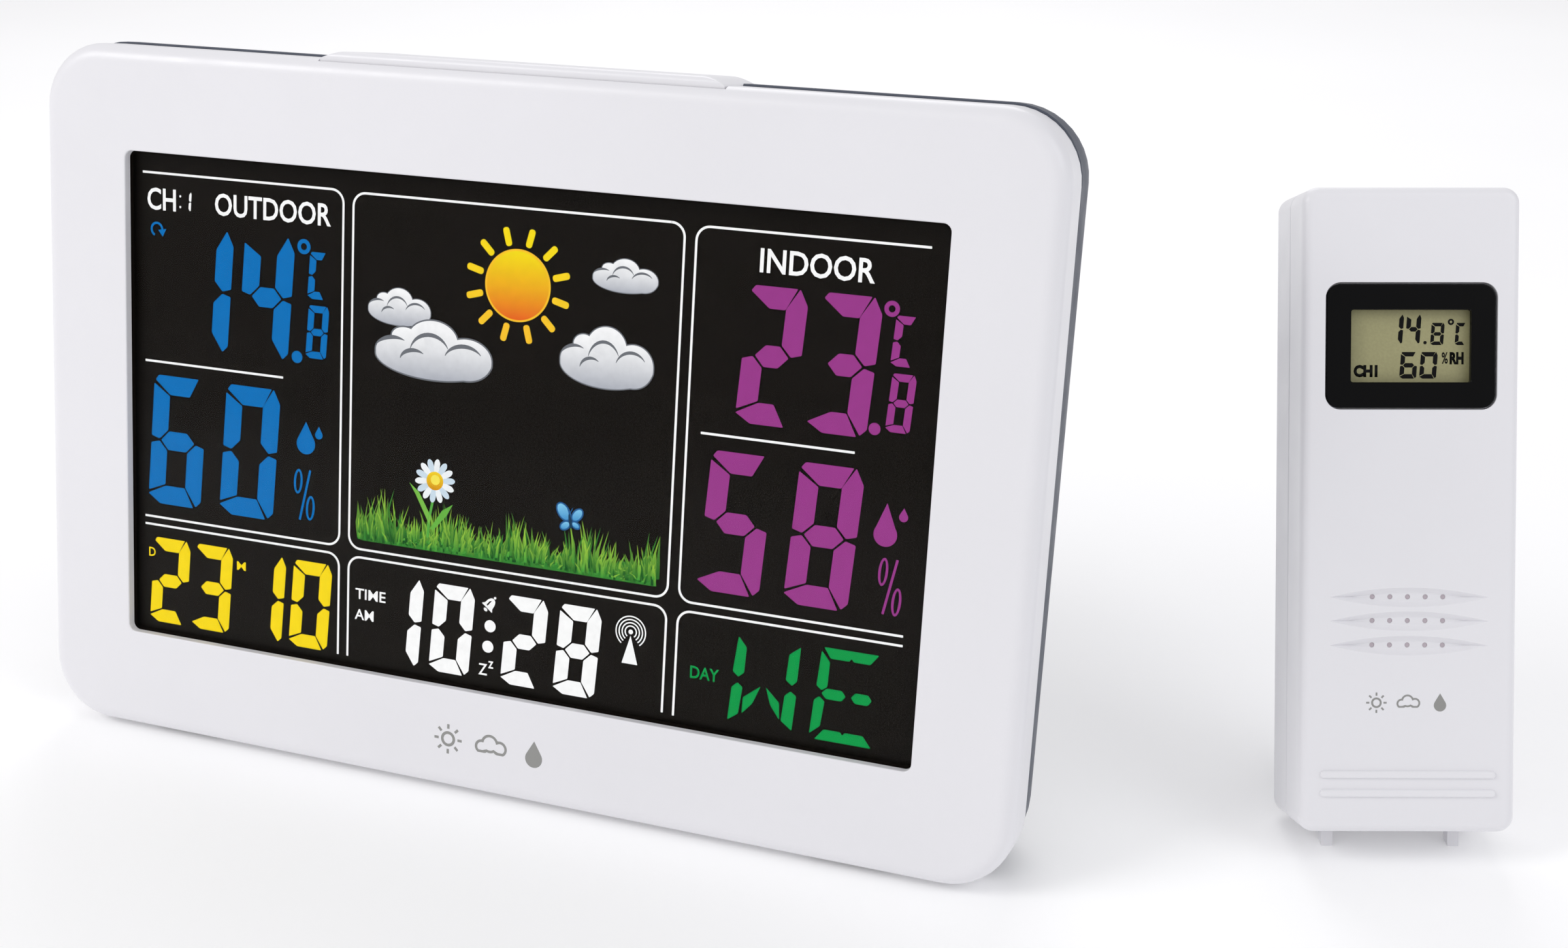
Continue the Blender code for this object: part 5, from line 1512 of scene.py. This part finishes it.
def make_sensor_front():
    side = sensor_outline(0.0)
    steps = [(SENSOR_SEAM, sensor_outline(0.15)), (SENSOR_SEAM - 0.15, side)]
    steps += [(SENSOR_SEAM - SUPPORT, side), (SENSOR_ROUND + SUPPORT, side)]
    steps += [(depth, sensor_outline(inset)) for depth, inset in round_over(SENSOR_ROUND, 8)]
    steps.append((0.0, sensor_outline(SENSOR_ROUND + SUPPORT)))
    shell = start("sensor_front", stack("Y", steps))
    carve(shell, prism("Y", sensor_outline(SENSOR_WALL), SENSOR_WALL, BIG))
    for z in RIDGE_ROWS:
        rings = []
        for i in range(7):
            angle = math.pi / 2 * i / 6
            shrink = 0.9 * (1 - math.cos(angle))
            width, height = RIDGE_LENGTH - shrink, RIDGE_HEIGHT - shrink
            outline = rounded_rect(width, height, height / 2 - 0.01, (0.0, z), 5)
            rings.append((-RIDGE_PROUD * math.sin(angle), outline))
        rings.reverse()
        rings.append((1.0, rounded_rect(RIDGE_LENGTH, RIDGE_HEIGHT, RIDGE_HEIGHT / 2 - 0.01, (0.0, z), 5)))
        carve(shell, stack("Y", rings), "UNION")
    for z in LOUVRE_ROWS:
        rings = [(-0.2, lens_outline(LOUVRE_LENGTH, LOUVRE_HEIGHT, z))]
        for i in range(9):
            share = i / 8
            narrow = math.sqrt(1 - 0.88 * share)
            length = LOUVRE_LENGTH * (1 - 0.3 * share)
            rings.append((LOUVRE_DEEP * share, lens_outline(length, LOUVRE_HEIGHT * narrow, z)))
        carve(shell, stack("Y", rings))
    holes = [rod("Y", PINHOLE_RADIUS, spot, -1.0, SENSOR_WALL + 1, 20) for spot in pinholes()]
    carve(shell, several(holes))
    centre = (0.0, SENSOR_WINDOW_Z)
    carve(shell, prism("Y", rounded_rect(*SENSOR_WINDOW, 2.7, centre), -1.0, 1.5))
    opening = rounded_rect(SENSOR_VIEW[0] + 2, SENSOR_VIEW[1] + 2, 0.8, centre)
    carve(shell, prism("Y", opening, 0.5, SENSOR_WALL + 1))
    finish(shell, SENSOR, "sensor", WHITE, ("sensor_front_shell",))


def sensor_bay(grow, front, back, top):
    half = SENSOR_BAY_WIDTH / 2 + grow
    return block((-half, front, SENSOR_BAY_BOTTOM - grow), (half, back, top + grow))


def make_sensor_rear():
    begin = SENSOR_SEAM + GAP
    side = sensor_outline(0.0)
    rings = [(begin, sensor_outline(0.15)), (begin + 0.15, side), (begin + 0.45, side)]
    rings.append((SENSOR_DEPTH - SENSOR_REAR_ROUND - SUPPORT, side))
    edge = round_over(SENSOR_REAR_ROUND, 10)
    rings += [(SENSOR_DEPTH - depth, sensor_outline(inset)) for depth, inset in edge]
    rings.append((SENSOR_DEPTH, sensor_outline(SENSOR_REAR_ROUND + SUPPORT)))
    shell = start("sensor_back", stack("Y", rings))
    hollow = start("hollow", prism("Y", sensor_outline(SENSOR_WALL), begin - 1, SENSOR_DEPTH - SENSOR_WALL))
    wall = SENSOR_DEPTH - SENSOR_WALL + 0.5
    carve(hollow, sensor_bay(BAY_WALL, begin - 2, wall, PANEL_TOP))
    half = SENSOR_LEG["width"] / 2 + 3.2
    carve(hollow, block((-half, 15.0, -1.0), (half, wall, SENSOR_BAY_BOTTOM)))
    carve(hollow, rod("Y", 2.6, SENSOR_SCREW, begin, wall))
    carve(shell, taken(hollow))
    top = SENSOR_BAY_BOTTOM + BAY_LENGTH
    carve(shell, sensor_bay(BAY_WALL, SENSOR_BAY_FLOOR - 1.2, begin + 0.6, top), "UNION")
    tangent = SENSOR.col[1].z / SENSOR.col[2].z
    base = -SENSOR.translation.z / SENSOR.col[2].z
    for x in mirrored(TOE_X):
        half = TOE_WIDTH / 2
        foot_front, foot_back = base - TOE_FRONT * tangent, base - TOE_BACK * tangent
        outline = [(TOE_FRONT, 1.0), (TOE_BACK, 1.0), (TOE_BACK, foot_back), (TOE_FRONT, foot_front)]
        carve(shell, prism("X", outline, x - half, x + half), "UNION")
    carve(shell, sensor_bay(0.0, SENSOR_BAY_FLOOR, BIG, top))
    half = SENSOR_BAY_WIDTH / 2
    carve(shell, block((-half, PANEL_FLOOR, PANEL_BOTTOM), (half, BIG, PANEL_TOP)))
    carve(shell, sensor_bay(BAY_WALL + GAP, SENSOR_DEPTH - DOOR_THICK - GAP, BIG, PANEL_TOP))
    carve_leg_pocket(shell, SENSOR_LEG)
    first, last = SWITCH_FIRST - 0.6 - GAP, SWITCH_FIRST + SWITCH_TRAVEL + 0.6 + GAP
    slot = block((first, PANEL_FLOOR - 3, PANEL_ROW - 1.1), (last, BIG, PANEL_ROW + 1.1))
    carve(shell, several([slot, rod("Y", 1.9, (TRANSMIT_X, PANEL_ROW), PANEL_FLOOR - 3, BIG)]))
    carve(shell, rod("Y", 1.2, SENSOR_SCREW, begin - 1, 16.0))
    funnel = [(15.5, 2.2), (SENSOR_DEPTH - 0.3, 2.2), (SENSOR_DEPTH + 0.1, 2.6)]
    carve(shell, turned("Y", SENSOR_SCREW, funnel))
    finish(shell, SENSOR, "sensor", WHITE, ("sensor_rear_shell",))


def make_sensor_window():
    centre = (0.0, SENSOR_WINDOW_Z)
    width, height = SENSOR_WINDOW[0] - 2 * GAP, SENSOR_WINDOW[1] - 2 * GAP

    def outline(inset):
        return rounded_rect(width - 2 * inset, height - 2 * inset, 2.4 - inset, centre)

    def view(grow):
        return rounded_rect(SENSOR_VIEW[0] + grow, SENSOR_VIEW[1] + grow, 0.4 + grow / 2, centre)

    rings = [(1.2, outline(0.0)), (0.35, outline(0.0)), (0.17, outline(0.08)), (0.1, outline(0.25))]
    rings += [(0.1, view(0.3)), (0.25, view(0.0)), (1.2, view(0.0))]
    window = start("sensor_bezel", stack("Y", rings, closed=True))
    finish(window, SENSOR, "sensor", GLOSS_BLACK, ("sensor_window",))


def make_sensor_glass():
    half, tall = SENSOR_VIEW[0] / 2 + 3, SENSOR_VIEW[1] / 2 + 3
    centre = (0.0, SENSOR_WINDOW_Z)
    front, edge = SENSOR_WALL + GAP, 0.1

    def outline(inset):
        return rounded_rect(2 * (half - inset), 2 * (tall - inset), 0.3, centre, 3)

    rings = [(front, outline(edge)), (front + edge, outline(0.0))]
    rings += [(front + 1.5, outline(0.0)), (front + 1.6, outline(edge))]
    glass = start("sensor_display", stack("Y", rings))
    finish(glass, SENSOR, "sensor", OLIVE, ("sensor_lcd",))
    art = Art("sensor_figures", SENSOR_SHEET)
    wide, tall = SENSOR_VIEW

    def digits(signs, left, right, low, high, share, thick):
        """Digits spread between a left and a right edge, given as shares of the view."""
        slant_run = (high - low) * tall * 0.06
        width = (right - left) * wide * share
        room = (right - left) * wide - width - slant_run
        for i, sign in enumerate(signs):
            x = left * wide + (room * i / (len(signs) - 1) if len(signs) > 1 else 0.0)
            write_digit(art, sign, x, low * tall, width, (high - low) * tall, thick, 0.12, LCD_BLACK)

    digits("14", 0.31, 0.591, 0.532, 0.941, 0.43, 0.80)
    art.add(oval((0.623 * wide, 0.552 * tall), 0.3, 0.3, 16), LCD_BLACK)
    digits("8", 0.665, 0.789, 0.519, 0.826, 0.88, 0.62)
    add_ring(art, (0.838 * wide, 0.839 * tall), 0.55, 0.22, LCD_BLACK)
    digits("C", 0.870, 0.975, 0.519, 0.826, 0.88, 0.62)
    digits("60", 0.409, 0.730, 0.054, 0.422, 0.44, 0.78)
    art.text("%", 0.763 * wide, 0.26 * tall, 0.815 * wide, 0.42 * tall, LCD_BLACK, 0.02)
    art.text("RH", 0.83 * wide, 0.251 * tall, 0.947 * wide, 0.422 * tall, LCD_BLACK, 0.055)
    art.text("CH1", 0.028 * wide, 0.072 * tall, 0.228 * wide, 0.243 * tall, LCD_BLACK, 0.06)
    art.done()


def make_dust_screen():
    """The fine screen behind the louvres' pinholes."""
    low, high = LOUVRE_ROWS[0] - 1.6, LOUVRE_ROWS[-1] + 1.6
    half = 2 * PINHOLE_PITCH + 1.2
    outline = rounded_rect(2 * half, high - low, 0.8, (0.0, (low + high) / 2), 4)
    rings = ((SENSOR_WALL + 0.02, outline), (SENSOR_WALL + 0.30, outline))
    screen = start("dust_screen", stack("Y", rings))
    radius, front = PINHOLE_RADIUS - 0.02, LOUVRE_DEEP + 0.1
    plugs = [rod("Y", radius, spot, front, SENSOR_WALL + 0.2, 16) for spot in pinholes()]
    carve(screen, several(plugs), "UNION")
    finish(screen, SENSOR, "sensor", SCREEN)


def make_sensor_controls():
    back = SENSOR_DEPTH - DOOR_THICK - 3 * GAP
    row, x = PANEL_ROW, SWITCH_FIRST
    knob = start("channel_slider", block((x - 1.0, PANEL_FLOOR + GAP, row - 1.8), (x + 1.0, back, row + 1.8)))
    stem = block((x - 0.6, PANEL_FLOOR - 1.0, row - 0.8), (x + 0.6, PANEL_FLOOR + 1, row + 0.8))
    carve(knob, stem, "UNION")
    grip = []
    for step in (-1.0, -0.33, 0.33, 1.0):
        grip.append(block((x - 2, back - 0.25, row + step - 0.14), (x + 2, BIG, row + step + 0.14)))
    carve(knob, several(grip))
    finish(knob, SENSOR, "channel_switch", PART_BLACK, ("channel_switch",))
    steps = [(PANEL_FLOOR - 1.0, 1.5), (back - 0.3, 1.5), (back - 0.09, 1.41)]
    steps += [(back, 1.2), (back, 0.9), (back - 0.15, 0.5)]
    key = start("transmit_button", turned("Y", (TRANSMIT_X, row), steps))
    finish(key, SENSOR, "transmit_key", KEY, ("transmit_key",))
    steps = [(4.2, 0.7), (4.6, 0.9), (15.8, 0.9), (15.8, 1.9), (16.5, 1.9)]
    steps += dome(16.5, 0.6, 1.9, 0.9)
    make_screw("sensor_rear_screw", SENSOR, "sensor", SENSOR_SCREW, steps, "sensor_screw")


def make_sensor_door():
    width = SENSOR_BAY_WIDTH + 2 * BAY_WALL
    low, high = SENSOR_BAY_BOTTOM - BAY_WALL, PANEL_TOP + BAY_WALL
    door = door_plate("sensor_cover", width, high - low, (0.0, (low + high) / 2), SENSOR_DEPTH)
    carve_grip(door, (-5.0, 5.0), SENSOR_DEPTH, (100.0, 102.2), 96.5)
    finish(door, SENSOR, "sensor_battery_door", WHITE, ("sensor_battery_door",))


# Stage, light and camera


def make_stage():
    floor = start("floor", prism("Z", rounded_rect(12.0 / MM, 12.0 / MM, 1.0 / MM), -20.0, 0.0))
    floor.data.transform(Matrix.Scale(MM, 4))
    ground, tree, shader = principled("stage_floor", (0.95, 0.95, 0.955), 0.6)
    stops = ((0.3, (0.94, 0.94, 0.945)), (0.7, (0.96, 0.96, 0.965)))
    tree.links.new(ramp(tree, noise(tree, 6.0), *stops), shader.inputs["Base Color"])
    shader.inputs["Emission Color"].default_value = (1.0, 1.0, 1.0, 1.0)
    shader.inputs["Emission Strength"].default_value = 0.10
    floor.data.materials.append(ground)
    world = bpy.data.worlds.new("studio")
    world.use_nodes = True
    world.node_tree.nodes["Background"].inputs["Color"].default_value = (0.985, 0.98, 1.0, 1.0)
    world.node_tree.nodes["Background"].inputs["Strength"].default_value = 0.66
    bpy.context.scene.world = world


def make_light(name, spot, target, size, power, colour):
    data = bpy.data.lights.new(name, "AREA")
    data.shape = "DISK"
    data.size = size
    data.energy = power
    data.color = colour
    lamp = bpy.data.objects.new(name, data)
    bpy.context.scene.collection.objects.link(lamp)
    lamp.location = spot
    lamp.rotation_euler = (Vector(target) - Vector(spot)).to_track_quat("-Z", "Y").to_euler()


def make_camera():
    """Above and to the right of the console, looking back over it."""
    data = bpy.data.cameras.new("camera")
    data.lens = 46.217
    data.sensor_width = 36.0
    data.clip_start = 0.01
    camera = bpy.data.objects.new("camera", data)
    bpy.context.scene.collection.objects.link(camera)
    right = Vector((0.93671095, 0.3500985, -0.00190739))
    forward = Vector((-0.3263045, 0.87104827, -0.36715158))
    turn = Matrix((right, right.cross(forward), -forward)).transposed().to_4x4()
    camera.matrix_world = Matrix.Translation(CONSOLE @ Vector((167.6, -318.6, 142.1))) @ turn
    bpy.context.scene.camera = camera


def main():
    make_bezel()
    make_rear_housing()
    make_snooze_key()
    make_rear_keys()
    make_leg("console_stand", LEG, CONSOLE, "console_leg", SLATE, "console_leg")
    make_console_screws()
    make_battery_door()
    make_jack()
    make_feet()
    make_display()
    make_marks()
    make_sensor_front()
    make_sensor_rear()
    make_sensor_window()
    make_sensor_glass()
    make_dust_screen()
    make_sensor_controls()
    make_sensor_door()
    make_leg("sensor_stand", SENSOR_LEG, SENSOR, "sensor_leg", WHITE, "sensor_leg")
    finish_inner_nodes()
    make_stage()
    make_light("key", (-0.80, -0.70, 0.80), (0.0, 0.0, 0.05), 0.6, 5.1, (1.0, 0.99, 0.97))
    make_light("fill", (0.9, -0.25, 0.7), (0.1, 0.0, 0.05), 0.7, 1.9, (0.96, 0.98, 1.0))
    make_light("back", (-0.3, 0.9, 0.9), (0.0, 0.0, 0.05), 0.8, 3.0, (1.0, 1.0, 1.0))
    make_camera()
    bpy.context.scene.view_settings.view_transform = "Standard"


main()
